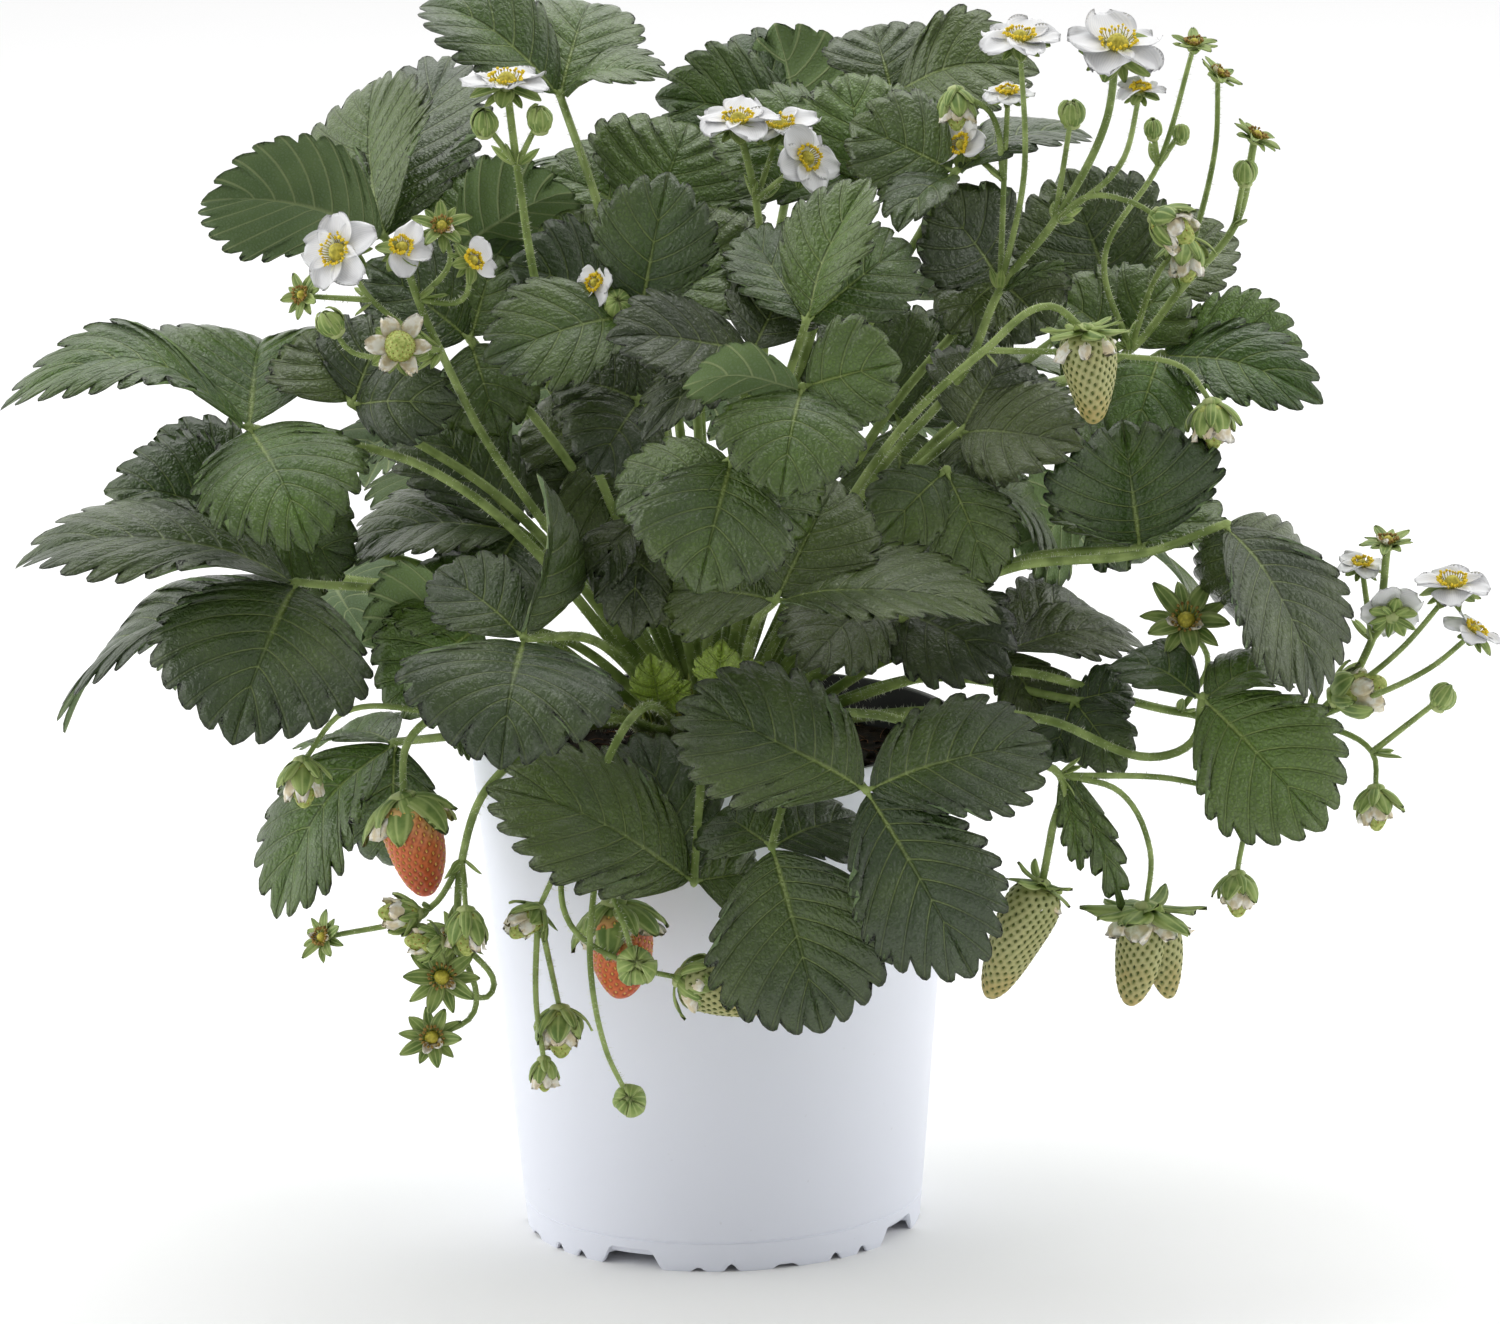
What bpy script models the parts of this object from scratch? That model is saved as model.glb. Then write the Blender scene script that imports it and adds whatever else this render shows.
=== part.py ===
"""A strawberry plant in flower and in fruit, in a white nursery pot.

Metres, +Z up. The origin is on the pot's axis, on the surface that the pot stands on, and the
plant is seen along +Y, with +X to the right. Leaves, stalks, flowers and fruits were placed by
eye on one photograph: each place is a picture point, in pixels, and a depth in millimetres.
"""

import math
from collections import namedtuple

import bmesh
import bpy
from mathutils import Matrix, Vector, noise

MM = 0.001
GAP = 0.4 * MM
UP = Vector((0, 0, 1))

# Pot: a one gallon trade pot
POT_HEIGHT = 170 * MM
RIM_RADIUS = 82.5 * MM
FOOT_RADIUS = 66 * MM
POT_WALL = 1.5 * MM
RIM_HEIGHT = 4 * MM
RIM_LIP = 1.1 * MM
BASE_UNDERSIDE = 3 * MM
SKIRT_DRAFT = 0.3 * MM
POT_SIDES = 36
DRAINS = 4
DRAIN_ANGLE = math.radians(-28)
DRAIN_HALF_WIDTH = 10.5 * MM
DRAIN_HEIGHT = 6.5 * MM
DRAIN_DEPTH = 12 * MM
DRAIN_TAPER = 0.8

# Potting mix and crown
MIX_TOP = 155 * MM
MIX_SIDES = 26
MIX_EDGE = 2 * MM
MIX_ROUGHNESS = 2.5 * MM
LUMPS_PER_METRE = 60
CROWN_SIZE = Vector((30, 26, 17)) * MM
LEVEL_AROUND_CROWN = CROWN_SIZE.x * 1.15
LOWEST_ROOT = math.radians(24)
STEEPEST_ROOT = math.radians(78)
STEM_SPACING = 5.4 * MM
CROWDING_ROUNDS = 120

# Leaves and stalks
MIDRIB_THICKNESS = 1.4 * MM
BLADE_ROWS = (0, 0.2, 0.5, 0.8, 1)
WIDEST_POINT = 1.16
BLADE_FULLNESS = 0.62
PETIOLE_RADIUS = 1.6 * MM
STALK_RADIUS = 1.3 * MM
PEDICEL_RADIUS = 0.9 * MM
KNOT_RADIUS = 3.4 * MM
YOUNG_KNOT_RADIUS = 2.6 * MM
BLADE_START = 1.5 * MM
STEM_LEAD = 12 * MM
STEM_SINK = 3 * MM
STEM_BOW = 0.1
SIDE_SPREAD = 72
SIDE_SHARE = 0.88
BLADE_BREADTH = 0.78

# Flowers and fruits
CALYX_DEPTH = 3.6 * MM
CALYX_LOBES = 5
FLOWER_HEAD_SHARE = 0.45
PETAL_THICKNESS = 1 * MM
PETALS = 5
PETAL_NOTCH = 0.68
FRUIT_SIDES = 8
FRUIT_PROFILE = ((0, 0), (0.62, 0.02), (1, 0.28), (0.74, 0.66), (0.3, 0.94), (0, 1))

# How the photograph was taken
PHOTO_CENTRE = (750, 662)
FOCAL_PIXELS = 9030
CAMERA_DISTANCE = 3.0
CAMERA_RISE = math.radians(13)
CAMERA_ROLL = math.radians(1.2)
CAMERA_AIM = Vector((12.6, 0, 191)) * MM

Leaf = namedtuple("Leaf", "hub via blades")

# Where a blade's upper side, a flower or a calyx looks
FACES = {
    "down": Vector((0, -0.15, -1)),
    "up": Vector((0, -0.25, 1)),
    "up_left": Vector((-0.6, -0.2, 1)),
    "up_right": Vector((0.6, -0.2, 1)),
    "front": Vector((0, -1, 0.45)),
    "front_up": Vector((0, -0.8, 0.8)),
    "front_left": Vector((-0.7, -0.8, 0.5)),
    "front_right": Vector((0.7, -0.8, 0.5)),
    "right": Vector((1, -0.15, 0.3)),
    "back": Vector((0, 0.9, 0.5)),
}

# Each leaf: its hub, the points its petiole passes, and its blades. A point is (pixel across,
# pixel down, depth). A blade is (tip point, width, face, fold in degrees, arch in hundredths).
LEAVES = {
    "leaf_front_right": Leaf((866, 790, -138), [], [
        ((676, 700, -112), 58, "front_up", 8, 8),
        ((1052, 738, -120), 50, "front_up", 6, 8),
        ((975, 978, -150), 52, "front", 8, 8)]),
    "leaf_front_low": Leaf((772, 846, -132), [(790, 760, -100)], [
        ((823, 1034, -142), 64, "front", 10, 8),
        ((862, 812, -104), 36, "front_up", 5, 6),
        ((714, 812, -110), 34, "front_up", 5, 6)]),
    "leaf_front_left": Leaf((694, 881, -116), [(702, 769, -98)], [
        ((490, 782, -118), 56, "front_up", 8, 10),
        ((636, 728, -86), 40, "front_up", 8, 6),
        ((764, 872, -100), 30, "front", 8, 6)]),
    "leaf_left_front": Leaf((524, 638, -112), [], [
        ((500, 764, -150), 74, "front_up", 10, 14),
        ((436, 566, -92), 34, "up_left", 10, 8),
        ((548, 474, -84), 40, "right", 24, 6)]),
    "leaf_left_low": Leaf((297, 582, -70), [], [
        ((15, 561, -62), 58, "up", 10, 16),
        ((232, 742, -112), 76, "front_up", 8, 12),
        ((54, 720, -30), 44, "up_left", 14, 10)]),
    "leaf_left_mid": Leaf((249, 427, -52), [(430, 470, -66)], [
        ((3, 395, -66), 46, "up", 12, 22),
        ((311, 546, -96), 60, "front_up", 10, 10),
        ((262, 330, -2), 70, "front_up", 20, 8)]),
    "leaf_left_high": Leaf((385, 238, 20), [], [
        ((200, 196, 0), 58, "back", 12, 14),
        ((372, 76, 66), 58, "front_left", 12, 10),
        ((452, 48, 96), 46, "front_up", 10, 8)]),
    "leaf_left_pale": Leaf((455, 250, 20), [], [
        ((574, 190, 6), 46, "back", 12, 12),
        ((492, 150, 56), 40, "front_up", 8, 8),
        ((560, 268, 30), 34, "front", 8, 8)]),
    "leaf_top": Leaf((560, 95, 30), [(604, 226, 4)], [
        ((421, 3, 46), 44, "up_left", 14, 18),
        ((592, 0, 72), 46, "front_up", 8, 14),
        ((667, 72, 18), 34, "up", 12, 14)]),
    "leaf_centre_high": Leaf((640, 316, -52), [], [
        ((668, 172, -46), 43, "front", 12, 6),
        ((484, 356, -70), 46, "front_up", 8, 8),
        ((738, 262, -40), 36, "front_up", 8, 8)]),
    "leaf_centre_dark": Leaf((752, 352, -68), [], [
        ((608, 336, -88), 38, "front_up", 8, 8),
        ((641, 432, -98), 30, "up", 8, 6),
        ((792, 276, -44), 34, "front_up", 8, 8)]),
    "leaf_centre": Leaf((802, 387, -112), [], [
        ((780, 494, -140), 50, "front_up", 10, 10),
        ((902, 362, -112), 38, "front", 16, 8),
        ((680, 380, -128), 26, "back", 8, 10)]),
    "leaf_centre_low": Leaf((732, 458, -122), [], [
        ((697, 594, -142), 54, "front", 14, 8),
        ((612, 510, -116), 34, "front_up", 10, 8),
        ((808, 536, -118), 38, "front", 10, 8)]),
    "leaf_upright": Leaf((806, 322, -72), [], [
        ((864, 174, -58), 40, "front_left", 14, 6),
        ((912, 240, -46), 38, "front", 8, 8),
        ((744, 226, -26), 30, "front", 8, 8)]),
    "leaf_high_right": Leaf((955, 172, -24), [], [
        ((1092, 130, -6), 34, "up", 10, 14),
        ((850, 120, -10), 40, "front", 8, 6),
        ((896, 226, -46), 30, "front_left", 12, 8)]),
    "leaf_top_right": Leaf((892, 92, 84), [], [
        ((1038, 66, 80), 46, "front_up", 10, 16),
        ((872, 22, 108), 40, "front", 10, 8),
        ((962, 156, 70), 36, "front_up", 10, 8)]),
    "leaf_top_middle": Leaf((800, 124, 100), [], [
        ((776, 24, 116), 42, "back", 12, 8),
        ((656, 96, 94), 46, "front", 10, 10),
        ((712, 46, 128), 42, "front_up", 10, 10)]),
    "leaf_middle_back": Leaf((650, 226, 52), [], [
        ((540, 166, 66), 48, "front_up", 8, 8),
        ((690, 120, 74), 60, "front", 8, 8),
        ((762, 186, 66), 46, "front_up", 8, 8)]),
    "leaf_right_dark": Leaf((1112, 296, 64), [], [
        ((1066, 168, 74), 56, "front", 10, 6),
        ((1238, 236, 72), 42, "front_up", 10, 10),
        ((1004, 250, 80), 44, "front_up", 10, 8)]),
    "leaf_right_bright": Leaf((1160, 354, 16), [], [
        ((1304, 342, 24), 40, "front", 16, 8),
        ((1321, 396, -14), 36, "front_up", 10, 10),
        ((1130, 446, -12), 38, "front", 10, 8)]),
    "leaf_right_folded": Leaf((1140, 548, -76), [(1020, 560, -60)], [
        ((1122, 420, -70), 60, "front", 30, 6),
        ((1206, 486, -58), 36, "front_up", 12, 8),
        ((1070, 480, -48), 36, "front_up", 12, 8)]),
    "leaf_right_far": Leaf((1225, 524, -90), [(1011, 568, -84), (1145, 553, -90)], [
        ((1322, 697, -106), 54, "front_right", 8, 12),
        ((1310, 610, -58), 36, "front_right", 8, 8),
        ((1250, 640, -64), 34, "front_left", 8, 8)]),
    "leaf_right_low": Leaf((1202, 698, -92), [(1047, 720, -98), (1150, 757, -100), (1192, 742, -98)], [
        ((1326, 829, -108), 54, "front", 8, 10),
        ((1110, 660, -78), 34, "up", 10, 12),
        ((1303, 664, -74), 34, "up", 10, 10)]),
    "leaf_centre_wide": Leaf((776, 600, -112), [], [
        ((1001, 618, -126), 58, "up", 10, 12),
        ((838, 478, -92), 48, "front", 8, 6),
        ((664, 590, -96), 42, "front_up", 8, 8)]),
    "leaf_right_small": Leaf((946, 470, -74), [], [
        ((994, 582, -86), 32, "front", 12, 8),
        ((1066, 556, -16), 34, "front_up", 10, 8),
        ((876, 540, -84), 30, "front", 10, 8)]),
    "leaf_right_shade": Leaf((1000, 650, -56), [], [
        ((1146, 640, -44), 40, "up", 8, 10),
        ((1070, 760, -72), 30, "front_up", 8, 8),
        ((1096, 598, -12), 36, "front_up", 8, 8)]),
    "leaf_middle_shade": Leaf((900, 424, 6), [], [
        ((842, 306, 16), 52, "front", 8, 6),
        ((984, 326, 22), 48, "front", 8, 6),
        ((900, 558, -16), 46, "front", 8, 6)]),
    "leaf_left_shade": Leaf((520, 530, -24), [], [
        ((344, 556, -34), 52, "up", 10, 12),
        ((400, 400, 8), 44, "front_up", 10, 10),
        ((470, 622, -50), 42, "front_up", 8, 8)]),
    "leaf_left_hanging": Leaf((395, 742, -50), [(465, 735, -62)], [
        ((268, 914, -62), 44, "front_left", 12, 14),
        ((392, 868, -40), 38, "front", 10, 10),
        ((316, 742, -14), 40, "up", 10, 10)]),
}

# Short young leaves in the middle of the plant, which grow with the crown in one piece
YOUNG_LEAVES = (
    Leaf((718, 694, -84), [], [
        ((722, 640, -90), 18, "front", 24, 6),
        ((762, 664, -92), 14, "front", 16, 6)]),
    Leaf((660, 708, -56), [], [
        ((650, 654, -62), 18, "front", 24, 6),
        ((690, 682, -62), 14, "front", 16, 6)]),
)

# Leaves at the back, which the photograph doesn't show: (turn about the pot in degrees from +X,
# hub radius, hub height, blade length, how far the middle blade hangs in degrees)
BACK_LEAVES = (
    (30, 138, 226, 74, 24), (62, 128, 292, 70, 10), (80, 152, 206, 80, 36),
    (104, 116, 330, 66, 4), (124, 150, 252, 76, 26), (152, 146, 208, 78, 32),
)

# Stalks that fork. Each stalk is (points, head, width in millimetres, the way the head looks), and
# its head sits on its last point. The first stalk comes from the crown, the others from a point of
# an earlier one. A calyx looks along the fruit that it is named with, and holds it.
TRUSSES = {
    "truss_left_high": [
        ([(486, 440, -56), (440, 350, -62), (418, 300, -58), (402, 250, -60)], "star", 18, "front_up"),
        ([(440, 350, -62), (372, 300, -62), (342, 254, -66)], "flower", 26, "flower_left"),
        ([(440, 350, -62), (400, 348, -84)], "star", 16, "front"),
        ([(418, 300, -58), (450, 262, -54), (442, 228, -54)], "star", 17, "front_up"),
        ([(372, 300, -62), (304, 296, -58)], "star", 15, "front_left")],
    "truss_top_left": [
        ([(540, 300, -24), (517, 165, -28), (507, 88, -32)], "flower", 28, "flower_top_left"),
        ([(517, 165, -28), (484, 122, -34)], "bud", 9, "up"),
        ([(517, 165, -28), (540, 118, -36)], "bud", 9, "up")],
    "truss_top_middle": [
        ([(765, 330, -6), (756, 200, -4), (738, 124, -6)], "star", 24, "up"),
        ([(756, 200, -4), (804, 160, -16)], "star", 22, "front_right"),
        ([(756, 200, -4), (780, 130, 4)], "star", 24, "up")],
    "truss_right_high": [
        ([(880, 470, -60), (965, 370, -44), (1000, 290, -44), (1055, 220, -40), (1105, 125, -38),
          (1117, 50, -40)], "flower", 31, "flower_top_right"),
        ([(1000, 290, -44), (1024, 175, -40), (1020, 42, -42)], "star", 24, "up"),
        ([(1055, 220, -40), (1120, 165, -46), (1140, 93, -48)], "star", 15, "up"),
        ([(1055, 220, -40), (1072, 112, -34)], "bud", 9, "up")],
    "truss_right_back": [
        ([(960, 420, -34), (1130, 350, 4), (1180, 290, 10), (1235, 225, 12), (1255, 138, 12)],
         "star", 16, "up_right"),
        ([(1130, 350, 4), (1105, 255, -6), (1158, 165, 2), (1194, 46, 4)], "star", 15, "up"),
        ([(1158, 165, 2), (1181, 132, 6)], "bud", 6, "up"),
        ([(1180, 290, 10), (1215, 150, 20), (1218, 76, 18)], "star", 15, "up_right")],
    "truss_right_fruit": [
        ([(900, 430, -80), (985, 350, -86), (1050, 306, -92), (1084, 330, -94)],
         "calyx", 30, "fruit_green_high"),
        ([(985, 350, -86), (1120, 356, -70), (1184, 368, -76), (1212, 404, -80)], "star", 20, "down")],
    "truss_right_far": [
        ([(1000, 670, -70), (1180, 712, -62), (1310, 720, -60), (1372, 640, -64), (1388, 544, -66)],
         "star", 16, "up"),
        ([(1310, 720, -60), (1400, 650, -72), (1452, 590, -78)], "flower", 25, "flower_far_right"),
        ([(1310, 720, -60), (1430, 668, -84), (1472, 634, -86)], "star", 18, "up_right"),
        ([(1310, 720, -60), (1372, 752, -70), (1376, 790, -72)], "star", 18, "down"),
        ([(1310, 720, -60), (1362, 696, -66)], "star", 20, "right"),
        ([(1372, 752, -70), (1444, 696, -84)], "bud", 9, "up_right")],
    "truss_right_low": [
        ([(900, 720, -104), (1000, 760, -109), (1060, 775, -112), (1052, 830, -115), (1042, 884, -113)],
         "calyx", 18, "fruit_green_right"),
        ([(1060, 775, -112), (1120, 792, -110), (1150, 850, -108), (1146, 908, -108)],
         "calyx", 30, "fruit_green_pair"),
        ([(1060, 775, -112), (1190, 782, -104), (1240, 804, -100), (1237, 876, -100)],
         "bud", 14, "down")],
    "truss_left_low": [
        ([(560, 700, -92), (443, 712, -90), (408, 742, -90), (403, 798, -90)], "calyx", 28, "fruit_red_left"),
        ([(443, 712, -90), (345, 712, -92), (303, 762, -94)], "star", 20, "down")],
    "truss_front_left": [
        ([(560, 730, -96), (486, 790, -108), (462, 860, -108), (456, 936, -110)], "star", 18, "front_left"),
        ([(462, 860, -108), (430, 908, -110), (324, 938, -114)], "star", 15, "front_left"),
        ([(430, 908, -110), (406, 914, -114)], "star", 15, "up_left"),
        ([(456, 936, -110), (492, 992, -106), (442, 978, -116)], "star", 22, "front"),
        ([(456, 936, -110), (474, 1012, -112), (432, 1038, -116)], "star", 19, "front")],
    "truss_front": [
        ([(630, 720, -98), (598, 790, -112), (597, 860, -112), (614, 904, -112)],
         "calyx", 28, "fruit_red_front"),
        ([(597, 860, -112), (590, 960, -130), (606, 1050, -126), (630, 1100, -122)], "bud", 11, "front"),
        ([(598, 790, -112), (566, 850, -114), (570, 924, -126), (640, 968, -126), (680, 978, -124)],
         "calyx", 20, "fruit_green_front"),
        ([(566, 850, -114), (538, 910, -108)], "bud", 12, "up"),
        ([(538, 910, -108), (560, 1018, -108)], "star", 18, "down")],
    "truss_back": [
        ([(700, 640, 60), (660, 640, 104), (640, 700, 124), (636, 760, 128)], "star", 24, "down"),
        ([(660, 640, 104), (700, 690, 122), (706, 730, 126)], "bud", 14, "down"),
        ([(640, 700, 124), (600, 750, 120)], "star", 18, "down")],
}

# Fruits: (tip point, width in millimetres); each hangs from the calyx that names it
FRUITS = {
    "fruit_green_high": ((1094, 424, -96), 18),
    "fruit_red_left": ((428, 896, -92), 21),
    "fruit_red_front": ((622, 998, -110), 23),
    "fruit_green_front": ((763, 1010, -124), 17),
    "fruit_green_right": ((988, 998, -112), 19),
    "fruit_green_pair": ((1146, 1007, -108), 23),
}

# Flowers: the way each looks; each sits on the stalk that names it
FLOWERS = {
    "flower_left": "front_left",
    "flower_top_left": "up",
    "flower_top_right": "front_up",
    "flower_far_right": "up",
}


def clear_scene():
    for obj in list(bpy.data.objects):
        bpy.data.objects.remove(obj, do_unlink=True)
    for collection in list(bpy.data.collections):
        bpy.data.collections.remove(collection)


def material(name, colour, roughness):
    """A plain Principled material; the colour is linear."""
    made = bpy.data.materials.get(name) or bpy.data.materials.new(name)
    made.use_nodes = True
    shader = made.node_tree.nodes["Principled BSDF"]
    shader.inputs["Base Color"].default_value = (*colour, 1)
    shader.inputs["Roughness"].default_value = roughness
    shader.inputs["Metallic"].default_value = 0
    return made


def spot(point):
    """The place in metres of a picture point (pixel across, pixel down) at a depth in millimetres."""
    across = point[0] - PHOTO_CENTRE[0]
    down = point[1] - PHOTO_CENTRE[1]
    level_across = across * math.cos(CAMERA_ROLL) - down * math.sin(CAMERA_ROLL)
    level_down = across * math.sin(CAMERA_ROLL) + down * math.cos(CAMERA_ROLL)
    forward = Vector((0, math.cos(CAMERA_RISE), -math.sin(CAMERA_RISE)))
    upward = Vector((0, math.sin(CAMERA_RISE), math.cos(CAMERA_RISE)))
    camera = CAMERA_AIM - forward * CAMERA_DISTANCE
    ray = forward * FOCAL_PIXELS + Vector((level_across, 0, 0)) - upward * level_down
    return camera + ray * ((point[2] * MM - camera.y) / ray.y)


def crown_surface(direction):
    """The point of the crown's dome in a direction from its centre, and the normal there."""
    reach = 1 / math.sqrt(sum((direction[i] / CROWN_SIZE[i]) ** 2 for i in range(3)))
    point = direction * reach
    normal = Vector([point[i] / CROWN_SIZE[i] ** 2 for i in range(3)]).normalized()
    return point + Vector((0, 0, MIX_TOP + GAP)), normal


def root_direction(target):
    """The way from the crown towards a target, kept between the lowest and steepest stem."""
    away = target - Vector((0, 0, MIX_TOP))
    turn = math.atan2(away.y, away.x)
    rise = math.atan2(away.z, math.hypot(away.x, away.y))
    rise = min(max(rise, LOWEST_ROOT), STEEPEST_ROOT)
    return Vector((math.cos(turn) * math.cos(rise), math.sin(turn) * math.cos(rise), math.sin(rise)))


def crowd(directions):
    """Stems that would leave the crown through each other push each other aside on the dome."""
    directions = [d.copy() for d in directions]
    for _ in range(CROWDING_ROUNDS):
        for i, one in enumerate(directions):
            for j in range(i):
                between = crown_surface(one)[0] - crown_surface(directions[j])[0]
                short = STEM_SPACING - between.length
                if short <= 0:
                    continue
                push = between.normalized() * (short / CROWN_SIZE.x / 2)
                directions[i] = keep_on_dome(directions[i] + push)
                directions[j] = keep_on_dome(directions[j] - push)
                one = directions[i]
    return directions


def keep_on_dome(direction):
    direction = direction.normalized()
    lowest = math.sin(LOWEST_ROOT)
    if direction.z < lowest:
        flat = Vector((direction.x, direction.y, 0)).normalized() * math.cos(LOWEST_ROOT)
        direction = Vector((flat.x, flat.y, lowest))
    return direction


def smooth_route(points, steps):
    """Points along a smooth curve through the given ones, steps to each span."""
    spans = [(b - a).normalized() for a, b in zip(points, points[1:])]
    ways = [spans[0]] + [(a + b).normalized() for a, b in zip(spans, spans[1:])] + [spans[-1]]
    route = []
    for i in range(len(points) - 1):
        start, stop = points[i], points[i + 1]
        length = (stop - start).length
        for step in range(steps):
            t = step / steps
            route.append(start * (2 * t ** 3 - 3 * t ** 2 + 1) + stop * (3 * t ** 2 - 2 * t ** 3)
                         + ways[i] * length * (t ** 3 - 2 * t ** 2 + t)
                         + ways[i + 1] * length * (t ** 3 - t ** 2))
    return route + [points[-1]]


def stem_points(direction, through, clear=GAP):
    """From the crown, square to its surface, and on through the given places."""
    root, normal = crown_surface(direction)
    start = root + normal * clear
    lead = root + normal * (GAP + STEM_LEAD)
    if len(through) == 1:
        span = through[0] - lead
        through = [lead + span / 2 + UP * (span.length * STEM_BOW)] + through
    return [start, lead] + through


def link(name, data, collection):
    obj = bpy.data.objects.new(name, data)
    collection.objects.link(obj)
    return obj


def to_mesh(obj):
    """Replaces an object by the plain mesh that its modifiers or its curve give."""
    bpy.context.view_layer.update()
    evaluated = obj.evaluated_get(bpy.context.evaluated_depsgraph_get())
    data = bpy.data.meshes.new_from_object(evaluated)
    data.transform(obj.matrix_world)
    name = obj.name
    collection = obj.users_collection[0]
    bpy.data.objects.remove(obj, do_unlink=True)
    data.name = name
    return link(name, data, collection)


def weld(data):
    shape = bmesh.new()
    shape.from_mesh(data)
    bmesh.ops.remove_doubles(shape, verts=shape.verts, dist=1e-6)
    shape.to_mesh(data)
    shape.free()


def tube(name, points, radius, collection, sides=4):
    """A curve with a round bevel through the points, as a closed mesh."""
    curve = bpy.data.curves.new(name, "CURVE")
    curve.dimensions = "3D"
    curve.bevel_depth = radius
    curve.bevel_resolution = (sides - 4) // 2
    curve.use_fill_caps = True
    spline = curve.splines.new("POLY")
    spline.points.add(len(points) - 1)
    for place, point in zip(spline.points, points):
        place.co = (*point, 1)
    made = to_mesh(link(name, curve, collection))
    weld(made.data)
    return made


def ball(name, centre, radius, collection):
    shape = bmesh.new()
    bmesh.ops.create_uvsphere(shape, u_segments=4, v_segments=2, radius=radius)
    data = bpy.data.meshes.new(name)
    shape.to_mesh(data)
    shape.free()
    data.transform(Matrix.Translation(centre))
    return link(name, data, collection)


def blade_profile(t):
    """Half the width at a share t of the length, as a share of the widest half."""
    return max(math.sin(math.pi * t ** WIDEST_POINT), 0) ** BLADE_FULLNESS


def blade(name, base, tip, width, normal, fold, arch, collection):
    """One leaflet: two grids shaped to the outline, joined at its thin edge, thickest at the midrib."""
    length = (tip - base).length
    axis = (tip - base) / length
    side = axis.cross(normal).normalized()
    normal = side.cross(axis)
    shape = bmesh.new()
    cells = len(BLADE_ROWS) - 1
    for under in (False, True):
        made = bmesh.ops.create_grid(shape, x_segments=2, y_segments=cells, size=1)
        for vert in made["verts"]:
            t = BLADE_ROWS[round((vert.co.y + 1) / 2 * cells)]
            out = vert.co.x * width / 2 * blade_profile(t)
            lift = arch / 100 * length * 4 * t * (1 - t) + abs(out) * math.tan(math.radians(fold))
            inner = abs(vert.co.x) < 0.5 and 0 < t < 1
            lift -= MIDRIB_THICKNESS if under and inner else 0
            vert.co = base + axis * (length * t) + side * out + normal * lift
        if under:
            below = {face for vert in made["verts"] for face in vert.link_faces}
            bmesh.ops.reverse_faces(shape, faces=list(below))
    bmesh.ops.remove_doubles(shape, verts=shape.verts, dist=1e-6)
    data = bpy.data.meshes.new(name)
    shape.to_mesh(data)
    shape.free()
    return link(name, data, collection)


def fuse(name, pieces, finish):
    """Joins solids that overlap into one closed body with a Boolean union each."""
    body = pieces[0]
    for piece in pieces[1:]:
        join = body.modifiers.new("join", "BOOLEAN")
        join.operation = "UNION"
        join.object = piece
    made = to_mesh(body)
    for piece in pieces[1:]:
        bpy.data.objects.remove(piece, do_unlink=True)
    made.name = name
    made.data.name = name
    made.data.materials.clear()
    made.data.materials.append(finish)
    return made


def turned(name, profile, sides, collection):
    """A profile of (radius, height) points turned round Z with a Screw modifier."""
    data = bpy.data.meshes.new(name)
    count = len(profile)
    data.from_pydata([(r, 0, z) for r, z in profile], [(i, i + 1) for i in range(count - 1)], [])
    made = link(name, data, collection)
    screw = made.modifiers.new("turn", "SCREW")
    screw.steps = sides
    screw.render_steps = sides
    screw.use_merge_vertices = True
    screw.merge_threshold = 0.00005
    return made


def pot(collection, cutters):
    """A tapered shell with a rim band, a skirt below the base plate, and notches in the skirt."""
    slope = (RIM_RADIUS - RIM_LIP - FOOT_RADIUS) / POT_HEIGHT

    def outside(z):
        return FOOT_RADIUS + slope * z

    band = POT_HEIGHT - RIM_HEIGHT
    plate_top = BASE_UNDERSIDE + POT_WALL
    profile = [
        (0, plate_top),
        (outside(plate_top) - POT_WALL, plate_top),
        (outside(POT_HEIGHT) - POT_WALL, POT_HEIGHT),
        (RIM_RADIUS, POT_HEIGHT),
        (RIM_RADIUS, band),
        (outside(band), band),
        (outside(0), 0),
        (outside(0) - POT_WALL, 0),
        (outside(0) - POT_WALL - SKIRT_DRAFT, BASE_UNDERSIDE),
        (0, BASE_UNDERSIDE),
    ]
    made = turned("pot", profile, POT_SIDES, collection)
    for quarter in range(DRAINS):
        turn = DRAIN_ANGLE + quarter * 2 * math.pi / DRAINS
        cut(made, drain_cutter(turn, cutters))
    made.data.materials.append(material("pot plastic", (0.75, 0.79, 0.87), 0.35))
    return made


def drain_cutter(turn, cutters):
    """A tapered block across the skirt; turn is measured from the front, to the right."""
    shape = bmesh.new()
    bmesh.ops.create_cube(shape, size=2)
    for vert in shape.verts:
        narrow = DRAIN_TAPER if vert.co.z > 0 else 1
        vert.co.x *= DRAIN_HALF_WIDTH * narrow
        vert.co.y *= DRAIN_DEPTH
        vert.co.z *= DRAIN_HEIGHT
    data = bpy.data.meshes.new("drain")
    shape.to_mesh(data)
    shape.free()
    made = link("drain", data, cutters)
    made.rotation_euler.z = turn
    made.location = (math.sin(turn) * FOOT_RADIUS, -math.cos(turn) * FOOT_RADIUS, 0)
    made.hide_render = True
    made.display_type = "WIRE"
    return made


def cut(obj, cutter):
    difference = obj.modifiers.new("cut", "BOOLEAN")
    difference.operation = "DIFFERENCE"
    difference.object = cutter


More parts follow.
